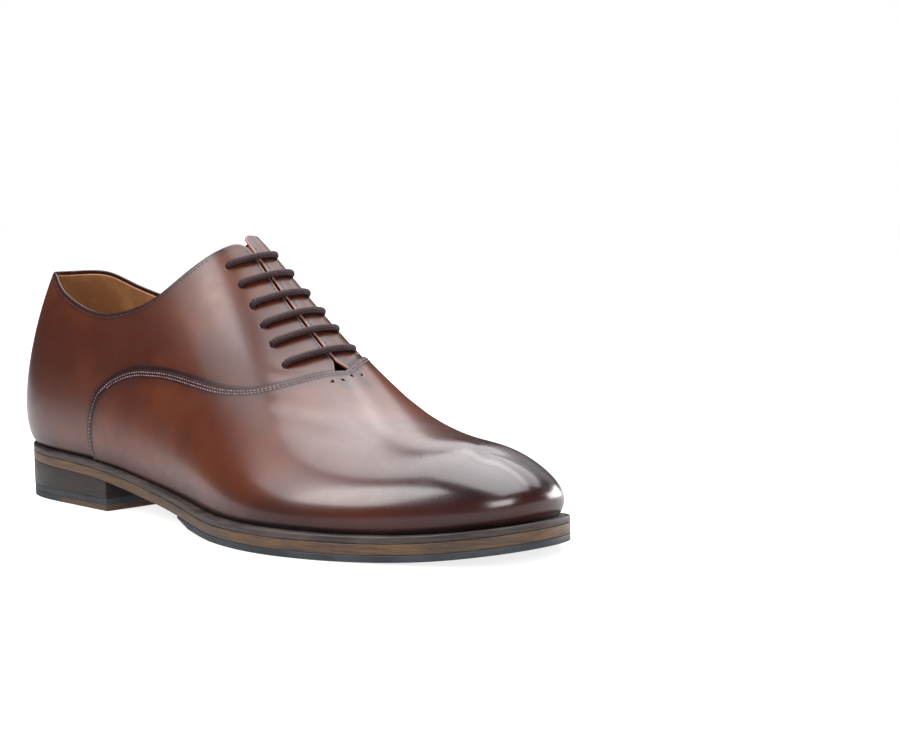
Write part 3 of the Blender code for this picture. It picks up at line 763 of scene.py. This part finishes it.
def welt():
    """Strip that runs round under the edge of the upper."""
    at = np.arange(0, TURN, 0.05)
    edge, outward = edge_and_outward(at)
    inset = closed_spline(column("inset")[:, None], at)[:, 0] * HALF_BALL + WALL
    inside = edge - outward * inset[:, None]
    bend = 0.55 * MM
    rings = [(inside, 0.0)]
    for turn in np.radians([0, 30, 60, 90]):
        rings.append((edge - outward * bend * (1 - np.sin(turn)), bend * (1 - np.cos(turn))))
    for turn in np.radians([90, 60, 30, 0]):
        rings.append((edge - outward * bend * (1 - np.sin(turn)), WELT - bend * (1 - np.cos(turn))))
    for back, dip in ((1.0, 0), (1.2, 0.12), (1.45, 0.25), (1.7, 0.12), (1.9, 0)):
        rings.append((edge - outward * back * MM, WELT - dip * MM))
    rings.append((inside, WELT))
    count = len(at)
    points = [(*place, outsole_top(place[0]) + GAP + rise) for ring, rise in rings for place in ring]
    faces = []
    for ring in range(len(rings)):
        after = (ring + 1) % len(rings)
        for step in range(count):
            following = (step + 1) % count
            faces.append((
                ring * count + step, ring * count + following,
                after * count + following, after * count + step,
            ))
    piece = new_piece("welt_strip", points, faces)
    soften(piece, 40)
    return piece


def sole_pieces():
    """Insole, outsole, half sole, heel stack and the heel's top piece."""
    start = 0.478 * SOLE_LENGTH - HEEL_CENTRE
    wedge = 0.036 * SOLE_LENGTH

    def rubber_under(x):
        thickness = RUBBER * np.clip(0.35 + 0.65 * (x - start) / wedge, 0, 1)
        return outsole_under(x) - GAP * 0.2 - thickness

    breast = HEEL_LENGTH - HEEL_CENTRE
    split = 0.05 * HEEL_LENGTH
    half = TOP_PIECE * 0.5
    floor = level(0.0)
    # Name, underside, upper face, rounding and inset of the edge in mm, rear end, front end
    rows = (
        ("sock", off(outsole_top, GAP), off(welt_top, INSOLE_SHOW), 0.5, (WALL + GAP) / MM, None, None),
        ("leather_sole", outsole_under, off(outsole_top, GAP * 0.9), 0.35, 0, None, None),
        ("rubber_half_sole", rubber_under, off(outsole_under, -GAP * 0.2), 0.35, 0, start, None),
        ("heel_lifts", level(TOP_PIECE + GAP * 0.2), off(outsole_under, -GAP * 0.1), 0.12, 0, None, breast),
        ("rubber_top_piece", level(half), level(TOP_PIECE), 0.15, 0.1, None, breast),
        ("rubber_heel_rear", floor, level(half), 0.3, 0.1, None, split),
        ("leather_top_piece", floor, level(half - 0.02 * MM), 0.3, 0.1, split + 0.1 * MM, breast),
    )
    return [
        plate(name, edge_profile(under, over, bend * MM, inset * MM), rear, front, name == "sock")
        for name, under, over, bend, inset, rear, front in rows
    ]


# Stitches, holes and laces


def seed_stitch():
    """One stitch, modelled along X: a stretched ball flattened on its under side."""
    bpy.ops.object.select_all(action="DESELECT")
    bpy.ops.mesh.primitive_uv_sphere_add(segments=8, ring_count=6, radius=0.5)
    stitch = bpy.context.object
    bpy.ops.object.mode_set(mode="EDIT")
    bpy.ops.mesh.select_all(action="SELECT")
    bpy.ops.transform.rotate(value=np.radians(90), orient_axis="Y", center_override=(0, 0, 0))
    bpy.ops.object.mode_set(mode="OBJECT")
    points = vertex_points(stitch)
    faces = [tuple(face.vertices) for face in stitch.data.polygons]
    bpy.data.objects.remove(stitch, do_unlink=True)
    return points, faces


SEED_POINTS, SEED_FACES = seed_stitch()


def stitch_row(line, pitch, length, width, out):
    """Points and faces of the stitches along a line on the last."""
    ends = even(line, pitch)
    places = skin(ends[:, 0], ends[:, 1], out)
    squares = square_to(ends[:, 0] % TURN, np.clip(ends[:, 1], 0, 1))
    over = ends[:, 1] > 1
    if over.any():
        other = square_to(TURN - ends[:, 0] % TURN, np.clip(2 - ends[:, 1], 0, 1))
        squares[over] = other[over]
    points, faces = [], []
    for index in range(len(places) - 1):
        middle = (places[index] + places[index + 1]) / 2
        ahead = unit(places[index + 1] - places[index])
        aside = unit(np.cross(squares[index], ahead))
        lift = np.cross(ahead, aside)
        shaped = SEED_POINTS * (length, width, width * 0.8)
        base = len(points)
        bow = -((np.abs(SEED_POINTS[:, 0]) * 2) ** 2) * 0.12 * MM
        for corner, sink in zip(shaped, bow):
            flat = middle + ahead * corner[0] + aside * corner[1]
            points.append(flat + lift * (corner[2] + sink))
        faces.extend(tuple(base + corner for corner in face) for face in SEED_FACES)
    return points, faces


def stitching():
    """Every row of stitches on the upper: those of the vamp in one piece, those of the rim in another."""
    seam, rim = [], []
    for inner in (False, True):
        sign = -1 if inner else 1
        edge = vamp_edge_line(inner)
        for distance, first in zip(SEAM_ROWS, (0, SECOND_ROW_START)):
            seam.append((moved_aside(edge, sign * distance * MM)[first:], VAMP_STEP + 0.05 * MM))
        for start, stop, distance in ((0.0, 5.25 if inner else 5.3, COLLAR_ROW), (5.62, 7.05, SLIT_ROW)):
            rim.append((moved_aside(rim_line(inner, start, stop), sign * distance * MM), 0.02 * MM))
    made = []
    for name, rows, pitch, width in (
        ("vamp_stitches", seam, SEAM_PITCH, SEAM_WIDTH), ("rim_stitches", rim, RIM_PITCH, RIM_WIDTH),
    ):
        points, faces = [], []
        for line, out in rows:
            some, corners = stitch_row(line, pitch * MM, pitch * STITCH_SHARE * MM, width * MM, out)
            faces.extend(tuple(len(points) + corner for corner in face) for face in corners)
            points.extend(some)
        made.append(new_piece(name, points, faces))
    return made


def lace_bar(index):
    """Path of one bar from under one facing, over the slit and down through the other."""
    outer_row, outer_rise, inner_row, inner_rise = EYELETS[index]
    half = (
        (0.0, -4.0), (0.0, -1.6), (0.004, 0.2), (0.035, 1.15), (0.10, 1.5), (0.22, 1.6), (0.36, 1.7),
    )
    rows = [(share, out * MM) for share, out in half]
    rows.append((0.5, 1.75 * MM))
    rows.extend((1 - share, out * MM) for share, out in half[::-1])
    path = []
    for share, out in rows:
        row = outer_row + (inner_row - outer_row) * share + LACE_BOW * 4 * share * (1 - share)
        rise = outer_rise + (2 - inner_rise - outer_rise) * share
        path.append(skin(row, np.array([rise]), out)[0])
    return np.array(path)


def pins(places, radius, reach):
    """Round pins through the leather, each a cylinder set square to the last."""
    made = []
    for row, rise in places:
        middle = skin(row, np.array([rise]))[0]
        along = square_to(np.array([row % TURN]), np.array([rise]))[0]
        first = unit(np.cross(along, (1.0, 0.0, 0.0)))
        bpy.ops.object.select_all(action="DESELECT")
        bpy.ops.mesh.primitive_cylinder_add(vertices=24, radius=radius, depth=2 * reach)
        pin = bpy.context.object
        pin.data.transform(placed(first, np.cross(along, first), along, middle))
        made.append(pin)
    for pin in made:
        pin.select_set(True)
    bpy.context.view_layer.objects.active = made[0]
    bpy.ops.object.join()
    return made[0]


def punch(pieces, cutter):
    """Cuts the pins out of each piece and clears them away."""
    for piece in pieces:
        step = piece.modifiers.new("Punch", "BOOLEAN")
        step.operation = "DIFFERENCE"
        step.solver = "EXACT"
        step.object = cutter
        apply_step(piece, step)
    bpy.data.objects.remove(cutter, do_unlink=True)


def smooth_path(path, count):
    """Even points on a smooth curve through a path."""
    table = np.column_stack([run_of(path), path])
    at = np.linspace(0, table[-1, 0], count)
    return np.column_stack([open_spline(table, axis, at) for axis in (1, 2, 3)])


def cord_mesh(name, paths, radius, sides=24, count=130):
    """Round cords along paths, with a map of turn and length on them."""
    points, faces, turns_at, lengths_at = [], [], [], []
    for path in paths:
        centre = smooth_path(path, count)
        ahead = unit(np.gradient(centre, axis=0))
        side = unit(np.cross(ahead, (1.0, 0.0, 0.0)))
        up = np.cross(side, ahead)
        run = run_of(centre)
        base = len(points)
        for place in range(count):
            for step in range(sides):
                turn = 2 * np.pi * step / sides
                phase = run[place] / (1.9 * MM) * np.pi
                bump = 0.035 * np.sin(2 * turn + phase) * np.sin(2 * turn - phase)
                outward = side[place] * np.cos(turn) + up[place] * np.sin(turn)
                points.append(centre[place] + outward * (radius * (0.96 + bump)))
                turns_at.append(step / sides)
                lengths_at.append(run[place])
        for place in range(count - 1):
            for step in range(sides):
                after = (step + 1) % sides
                a = base + place * sides
                faces.append((a + step, a + after, a + sides + after, a + sides + step))
        faces.append(tuple(base + step for step in range(sides))[::-1])
        faces.append(tuple(base + (count - 1) * sides + step for step in range(sides)))
    piece = new_piece(name, points, faces)
    keep_measure(piece, "turn", turns_at)
    keep_measure(piece, "run", lengths_at)
    return piece


# Materials


class Value:
    """A number that varies over a surface, as the output of a node."""

    def __init__(self, finish, socket):
        self.finish = finish
        self.socket = socket

    def maths(self, operation, first, second=None):
        inputs = {0: first} if second is None else {0: first, 1: second}
        return self.finish.node("Math", {"operation": operation}, inputs)

    def __add__(self, other):
        return self.maths("ADD", self, other)

    def __radd__(self, other):
        return self.maths("ADD", other, self)

    def __sub__(self, other):
        return self.maths("SUBTRACT", self, other)

    def __rsub__(self, other):
        return self.maths("SUBTRACT", other, self)

    def __mul__(self, other):
        return self.maths("MULTIPLY", self, other)

    def __rmul__(self, other):
        return self.maths("MULTIPLY", other, self)

    def sine(self):
        return self.maths("SINE", self)

    def larger(self, other):
        return self.maths("MAXIMUM", self, other)

    def ramp(self, low, high, at_low=0.0, at_high=1.0):
        """Moves smoothly from one value to the other between two readings."""
        return self.finish.node(
            "MapRange", {"interpolation_type": "SMOOTHSTEP"},
            {"Value": self, "From Min": low, "From Max": high, "To Min": at_low, "To Max": at_high}, "Result",
        )


class Nodes:
    """The nodes of a material or of the surroundings."""

    def __init__(self, tree):
        self.tree = tree

    def node(self, kind, settings, inputs, output=0):
        """Adds one node: its settings are set first, then its sockets are given values or links."""
        made = self.tree.nodes.new("ShaderNode" + kind)
        for name, value in settings.items():
            setattr(made, name, value)
        for name, value in inputs.items():
            if isinstance(value, Value):
                self.tree.links.new(value.socket, made.inputs[name])
            else:
                made.inputs[name].default_value = value
        return Value(self, made.outputs[output]) if made.outputs else None


class Finish(Nodes):
    """A material and its nodes."""

    def __init__(self, name, **constants):
        self.material = bpy.data.materials.new(name)
        self.material.use_nodes = True
        super().__init__(self.material.node_tree)
        self.shader = self.tree.nodes["Principled BSDF"]
        for socket, value in constants.items():
            self.shader.inputs[socket.replace("_", " ")].default_value = value

    def place(self):
        return self.node("TexCoord", {}, {}, "Object")

    def measure(self, name):
        return self.node("Attribute", {"attribute_name": name}, {}, "Fac")

    def part_of(self, vector, axis):
        return self.node("SeparateXYZ", {}, {0: vector}, axis)

    def noise(self, scale, detail=3.0, roughness=0.5, at=None):
        inputs = {"Vector": at or self.place(), "Scale": scale, "Detail": detail, "Roughness": roughness}
        return self.node("TexNoise", {}, inputs, "Fac")

    def cells(self, scale):
        return self.node("TexVoronoi", {}, {"Vector": self.place(), "Scale": scale}, "Distance")

    def blend(self, share, first, second):
        """Mixes two colours."""
        inputs = {"Factor": share, 6: first, 7: second}
        return self.node("Mix", {"data_type": "RGBA"}, inputs, 2)

    def stretched(self, scale):
        return self.node("Mapping", {}, {"Vector": self.place(), "Scale": scale})

    def bump(self, height, distance, strength):
        return self.node("Bump", {}, {"Height": height, "Distance": distance, "Strength": strength})

    def set(self, **links):
        for name, value in links.items():
            self.tree.links.new(value.socket, self.shader.inputs[name.replace("_", " ")])


def colour(red, green, blue):
    """A colour from screen values of 0 to 255."""
    shares = np.array([red, green, blue]) / 255
    return (*np.where(shares <= 0.04045, shares / 12.92, ((shares + 0.055) / 1.055) ** 2.4), 1.0)


def burnished_calf_and_painted_shade(name):
    """Glossy brown calf, burnished darker at toe, heel, seams and rim; the darkening along the feather line
    is painted shade, as is the seam's darkening on the quarters.
    """
    calf = Finish(name, Coat_Roughness=0.2, Coat_IOR=1.5, IOR=1.4, Coat_Tint=(1.0, 0.93, 0.96, 1))
    place = calf.place()
    along = calf.part_of(place, "X")
    clouds = calf.noise(20.0, 3.0, 0.5)
    fine = calf.noise(170.0, 3.0, 0.6)
    base = calf.blend(clouds.ramp(0.36, 0.68), colour(61, 24, 12), colour(84, 39, 17))
    base = calf.blend(fine.ramp(0.35, 0.75, 0.0, 0.25), base, colour(52, 19, 11))
    wander = clouds - 0.5
    heel = (along + wander * 0.012).ramp(-0.01, -0.05)
    seam = calf.measure("seam") + wander * 1.5
    rim = calf.measure("rim") + wander * 1.5
    foot = calf.measure("foot") + wander * 3.0
    height = calf.part_of(place, "Z")
    polish = along.ramp(0.09, 0.19, 0.3, 0.72) * height.ramp(0.045, 0.08, 1.0, 0.4)
    polish = polish.larger(foot.ramp(40.0, 24.0, 0.3, 0.75))
    toe = (along + wander * 0.02).ramp(0.18, 0.25) * foot.ramp(4.0, 14.0, 0.2, 1.0)
    slit = calf.measure("slit")
    # Painted shade: the foot term darkens the upper from 13 mm above the feather line down. It stands in for
    # the dark welt and shaded floor that the lower upper reflects.
    dark = seam.ramp(9.0, 3.0, 0.0, 0.4).larger(rim.ramp(4.5, 0.8)).larger(foot.ramp(13.0, 2.0, 0.0, 0.7))
    base = calf.blend(dark.larger(heel * 0.6) * 0.85, base, colour(34, 12, 14))
    # On the vamp this is a darker band along its edge. On the quarters, where the seam measure is scaled by
    # QUARTER_SEAM, this band and the seam darkening above are painted shade beside the vamp's raised edge.
    base = calf.blend(calf.measure("seam").ramp(4.1, 3.4, 0.0, 0.92), base, colour(34, 14, 18))
    base = calf.blend(toe * 0.96, base, colour(20, 8, 13))
    # Painted shadow: nearly black within about 2 mm of the feather line, where the upper meets the welt.
    base = calf.blend(foot.ramp(2.6, 1.2, 0.0, 0.92), base, colour(10, 6, 7))
    base = calf.blend(slit.ramp(0.9, 0.35, 0.0, 0.8), base, colour(150, 104, 92))
    grain = calf.cells(1500.0)
    pores = calf.noise(900.0, 2.0, 0.6)
    relief = calf.bump((grain + pores) * (0.5 - toe * 0.4), 0.03 * MM, 0.2)
    calf.set(
        Base_Color=base,
        Roughness=fine.ramp(0.2, 0.8, 0.30, 0.40) - toe * 0.10,
        Coat_Weight=polish.larger(toe) * foot.ramp(2.0, 9.0, 0.35, 1.0) * seam.ramp(2.8, 4.5, 0.25, 1.0),
        Normal=relief,
    )
    return calf.material


def plain_leather(name, light, dark, rough):
    """Matt leather with a soft mottle and a fine grain."""
    hide = Finish(name)
    mottle = hide.noise(60.0, 4.0, 0.6)
    base = hide.blend(mottle.ramp(0.35, 0.68), colour(*dark), colour(*light))
    grain = hide.cells(1400.0)
    hide.set(
        Base_Color=base,
        Roughness=mottle.ramp(0.2, 0.8, rough - 0.06, rough + 0.06),
        Normal=hide.bump(grain + hide.noise(700.0, 2.0), 0.05 * MM, 0.5),
    )
    return hide.material


def sole_edge(name, light, dark, rough):
    """Dyed and waxed edge of leather, with streaks along it."""
    edge = Finish(name, Specular_IOR_Level=0.35)
    streaks = edge.noise(1.0, 5.0, 0.65, edge.stretched((60.0, 60.0, 1400.0)))
    patches = edge.noise(45.0, 3.0, 0.6)
    base = edge.blend((streaks * 0.6 + patches * 0.4).ramp(0.38, 0.64), colour(*dark), colour(*light))
    fibres = edge.noise(1.0, 4.0, 0.7, edge.stretched((500.0, 500.0, 2600.0)))
    edge.set(
        Base_Color=base,
        Roughness=patches.ramp(0.2, 0.8, rough - 0.08, rough + 0.08),
        Normal=edge.bump(fibres, 0.12 * MM, 0.5),
    )
    return edge.material


def rubber(name):
    """Dark blue-grey rubber with a fine matt skin."""
    skin_of = Finish(name)
    cloud = skin_of.noise(60.0, 4.0, 0.6)
    skin_of.set(
        Base_Color=skin_of.blend(cloud.ramp(0.3, 0.7), colour(30, 33, 38), colour(46, 50, 56)),
        Roughness=cloud.ramp(0.2, 0.8, 0.45, 0.6),
        Normal=skin_of.bump(skin_of.noise(1600.0, 2.0), 0.05 * MM, 0.5),
    )
    return skin_of.material


def waxed_lace(name):
    """Braided cotton, waxed."""
    lace = Finish(name, Specular_IOR_Level=0.2)
    turn = lace.measure("turn")
    run = lace.measure("run")
    around = turn * (4 * 2 * np.pi)
    lengthwise = run * (np.pi / MM)
    weave = (around + lengthwise).sine() * (around - lengthwise).sine()
    fuzz = lace.noise(900.0, 3.0, 0.7)
    base = lace.blend((weave * 0.3 + fuzz).ramp(0.2, 0.85), colour(30, 17, 20), colour(66, 46, 48))
    lace.set(
        Base_Color=base,
        Roughness=fuzz.ramp(0.2, 0.8, 0.45, 0.65),
        Normal=lace.bump(weave + fuzz * 0.4, 0.12 * MM, 0.7),
    )
    return lace.material


def thread(name, light, dark):
    """Twisted sewing thread."""
    yarn = Finish(name)
    shade = yarn.noise(500.0, 2.0)
    base = yarn.blend(shade.ramp(0.3, 0.7), colour(*dark), colour(*light))
    yarn.set(Base_Color=base, Roughness=shade.ramp(0.2, 0.8, 0.5, 0.7))
    return yarn.material


def dress(piece, material, slot, *nodes):
    """Gives a piece its material and body, and hides the solids that it stands for; the slot is not used."""
    piece.data.materials.clear()
    piece.data.materials.append(material)
    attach(piece, "root")
    if nodes:
        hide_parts(*nodes)


def measure_upper(piece, beside_seam):
    """Stores how far each vertex is from the seam, the rim, the feather line and the slit, in mm."""
    points = vertex_points(piece)
    foot = skin(np.arange(0, TURN, 0.02), 0.0)
    keep_measure(piece, "seam", distance_to(points, EDGE_POINTS) / MM * beside_seam)
    keep_measure(piece, "rim", distance_to(points, COLLAR_POINTS) / MM)
    keep_measure(piece, "foot", distance_to(points, foot) / MM)
    keep_measure(piece, "slit", distance_to(points, SLIT_POINTS) / MM)


def build():
    """Makes and dresses every piece."""
    calf = burnished_calf_and_painted_shade("burnished_calf_and_painted_shade")
    sides, front, inside = quarters(), vamp(), lining()
    eyelets = [place for a, b, c, d in EYELETS for place in ((a, b), (TURN - c, d))]
    punch([sides, inside], pins(eyelets, EYELET_RADIUS, EYELET_REACH))
    punch([front], pins(PUNCHED, PINHOLE_RADIUS, PINHOLE_REACH))
    even_out(front)
    for piece, beside_seam in ((sides, QUARTER_SEAM), (front, 1.0)):
        measure_upper(piece, beside_seam)
        dress(piece, calf, "upper_leather", "upper")
    hide = plain_leather("lining_calf", (150, 104, 66), (124, 82, 50), 0.55)
    dress(inside, hide, "insole_leather", "upper")
    hide = plain_leather("tongue_calf", (74, 40, 28), (52, 28, 22), 0.5)
    dress(tongue(), hide, "tongue_leather", "tongue")
    edge = sole_edge("waxed_edge", (66, 56, 54), (38, 32, 31), 0.42)
    ochre = sole_edge("ochre_edge", (92, 66, 44), (56, 46, 40), 0.42)
    dark_edge = sole_edge("heel_edge", (44, 36, 33), (28, 22, 22), 0.4)
    tread = rubber("rubber_skin")
    made = sole_pieces()
    dress(welt(), edge, "welt_leather", "welt")
    sock = plain_leather("sock_leather", (184, 134, 90), (156, 108, 70), 0.5)
    finishes = (
        (sock, "insole_leather", "insole"),
        (ochre, "outsole_leather", "outsole"),
        (tread, "half_sole_rubber", "half_sole"),
        (dark_edge, "heel_leather", "heel_stack"),
        (tread, "top_piece_rubber", "top_piece"),
        (tread, "top_piece_rubber", "top_piece"),
        (ochre, "insert_leather", "top_piece_insert"),
    )
    for piece, finish in zip(made, finishes):
        dress(piece, *finish)
    seam, rim = stitching()
    dress(seam, thread("seam_thread", (136, 106, 106), (90, 62, 66)), "upper_leather")
    dress(rim, thread("edge_thread", (70, 42, 38), (40, 22, 22)), "upper_leather")
    bars = cord_mesh("lace_bars", [lace_bar(index) for index in range(len(EYELETS))], LACE / 2)
    dress(bars, waxed_lace("waxed_lace"), "lace_cord", "lace")


# Light, floor and camera


WHITE = (1, 1, 1, 1)
BLACK = (0, 0, 0, 1)
SHOE_CENTRE = np.array([0.12, 0.0, 0.04])
FLOOR_SIZE = 16
FLOOR_GLOW = 0.8
# Strength of the white surroundings: in reflections and on matt surfaces
SKY_IN_GLOSS = 0.04
SKY_ON_MATT = 0.6
# Dark card on the far side of the heel, seen only in reflections: length, height and centre
CARD_LONG = 0.225
CARD_HIGH = 0.13
CARD_CENTRE = (0.0125, 0.14, 0.066)
# Camera: place, azimuth, elevation and roll in degrees, focal length in the photo's pixels
CAMERA_SPOT = (0.7388, -0.4972, 0.1297)
CAMERA_TURNS = (46.3576, 5.0173, -1.1623)
FOCAL_LENGTH = 1977.53
PHOTO_WIDTH = 900
FILM_WIDTH = 36


def toward(azimuth, elevation):
    """Direction from the shoe towards an azimuth and an elevation in degrees."""
    a, e = np.radians(azimuth), np.radians(elevation)
    return np.array([np.sin(a) * np.cos(e), -np.cos(a) * np.cos(e), np.sin(e)])


def aim(azimuth, elevation, distance):
    """Place at a distance from the shoe."""
    return SHOE_CENTRE + distance * toward(azimuth, elevation)


# Panels of light: centre, the way each faces or None for the shoe, width, height, brightness
PANELS = {
    "over_panel": ((0.16, 0.145, 1.24), (0, 0, -1), 1.9, 0.91, 4.5),
    "beyond_panel": ((0.16, 0.79, 1.24), (0, 0, -1), 1.9, 0.38, 3.3),
    "far_panel": ((-0.55, 1.25, 1.14), (0.1, -0.5, -0.85), 2.5, 0.85, 2.0),
    "side_panel": (aim(-42, 43, 1.5), None, 0.62, 0.84, 2.6),
    "front_side_panel": (aim(-16, 44, 1.5), None, 0.7, 0.84, 8.0),
    "toe_panel": (aim(70, 23, 1.4), None, 0.78, 0.5, 8.5),
    "rear_panel": (aim(204, 17, 1.6), None, 0.7, 0.5, 0.3),
    "back_panel": (aim(173, 5, 1.5), None, 1.0, 0.42, 7.0),
}


def softbox(name, centre, facing, wide, high, brightness):
    """Rectangular light of an even brightness; it faces the shoe unless it is told otherwise."""
    centre = np.asarray(centre, float)
    back = unit(centre - SHOE_CENTRE if facing is None else -np.asarray(facing, float))
    light = bpy.data.lights.new(name, "AREA")
    light.shape = "RECTANGLE"
    light.size = wide
    light.size_y = high
    light.energy = brightness * np.pi * wide * high
    lamp = bpy.data.objects.new(name, light)
    bpy.context.scene.collection.objects.link(lamp)
    lamp.visible_camera = False
    right = unit(np.cross((0, 1, 0) if abs(back[2]) > 0.8 else (0, 0, 1), back))
    lamp.matrix_world = placed(right, np.cross(back, right), back, centre)


def sheet(name, size, paint):
    """Flat square of the studio, as large as the floor or the card needs."""
    bpy.ops.object.select_all(action="DESELECT")
    bpy.ops.mesh.primitive_plane_add(size=size, location=(0, 0, 0))
    made = bpy.context.object
    made.name = name
    made.data.materials.append(paint.material)
    return made


def surroundings():
    """White all round: full for the camera, soft on matt surfaces, faint in reflections."""
    world = bpy.data.worlds.new("studio")
    bpy.context.scene.world = world
    world.use_nodes = True
    sky = Nodes(world.node_tree)
    sky.tree.nodes.clear()
    on_matt = sky.node("LightPath", {}, {}, "Is Diffuse Ray")
    strength = on_matt.ramp(0.0, 1.0, SKY_IN_GLOSS, SKY_ON_MATT)
    lit = sky.node("Background", {}, {"Color": WHITE, "Strength": strength})
    seen = sky.node("Background", {}, {"Color": WHITE, "Strength": 1.0})
    by_camera = sky.node("LightPath", {}, {}, "Is Camera Ray")
    mixed = sky.node("MixShader", {}, {0: by_camera, 1: lit, 2: seen})
    sky.node("OutputWorld", {}, {"Surface": mixed})


def studio():
    """Pale floor, soft light and the camera."""
    ground = Finish(
        "floor_paint", Roughness=0.9, Base_Color=(0.36, 0.36, 0.36, 1), Specular_IOR_Level=0.1,
        Emission_Strength=FLOOR_GLOW,
    )
    in_gloss = ground.node("LightPath", {}, {}, "Is Glossy Ray")
    ground.set(Emission_Color=ground.blend(in_gloss, WHITE, BLACK))
    sheet("floor", FLOOR_SIZE, ground)
    surroundings()
    for name, panel in PANELS.items():
        softbox(name, *panel)
    cloth = Finish("dark_cloth", Base_Color=(0.02, 0.012, 0.01, 1), Roughness=0.9)
    card = sheet("dark_card", 1, cloth)
    card.data.transform(placed((CARD_LONG, 0, 0), (0, 0, CARD_HIGH), (0, 1, 0), CARD_CENTRE))
    card.visible_camera = card.visible_diffuse = card.visible_shadow = False
    azimuth, elevation, roll = CAMERA_TURNS
    back = toward(azimuth, elevation)
    right = unit(np.cross(-back, (0, 0, 1)))
    up = np.cross(right, -back)
    lean = np.radians(roll)
    first = right * np.cos(lean) + up * np.sin(lean)
    second = up * np.cos(lean) - right * np.sin(lean)
    lens = bpy.data.cameras.new("camera")
    lens.lens = FOCAL_LENGTH / PHOTO_WIDTH * FILM_WIDTH
    lens.sensor_width = FILM_WIDTH
    lens.clip_start = 0.05
    lens.clip_end = 60
    camera = bpy.data.objects.new("camera", lens)
    bpy.context.scene.collection.objects.link(camera)
    camera.matrix_world = placed(first, second, back, CAMERA_SPOT)
    bpy.context.scene.camera = camera
    bpy.context.scene.view_settings.view_transform = "Standard"


build()
studio()
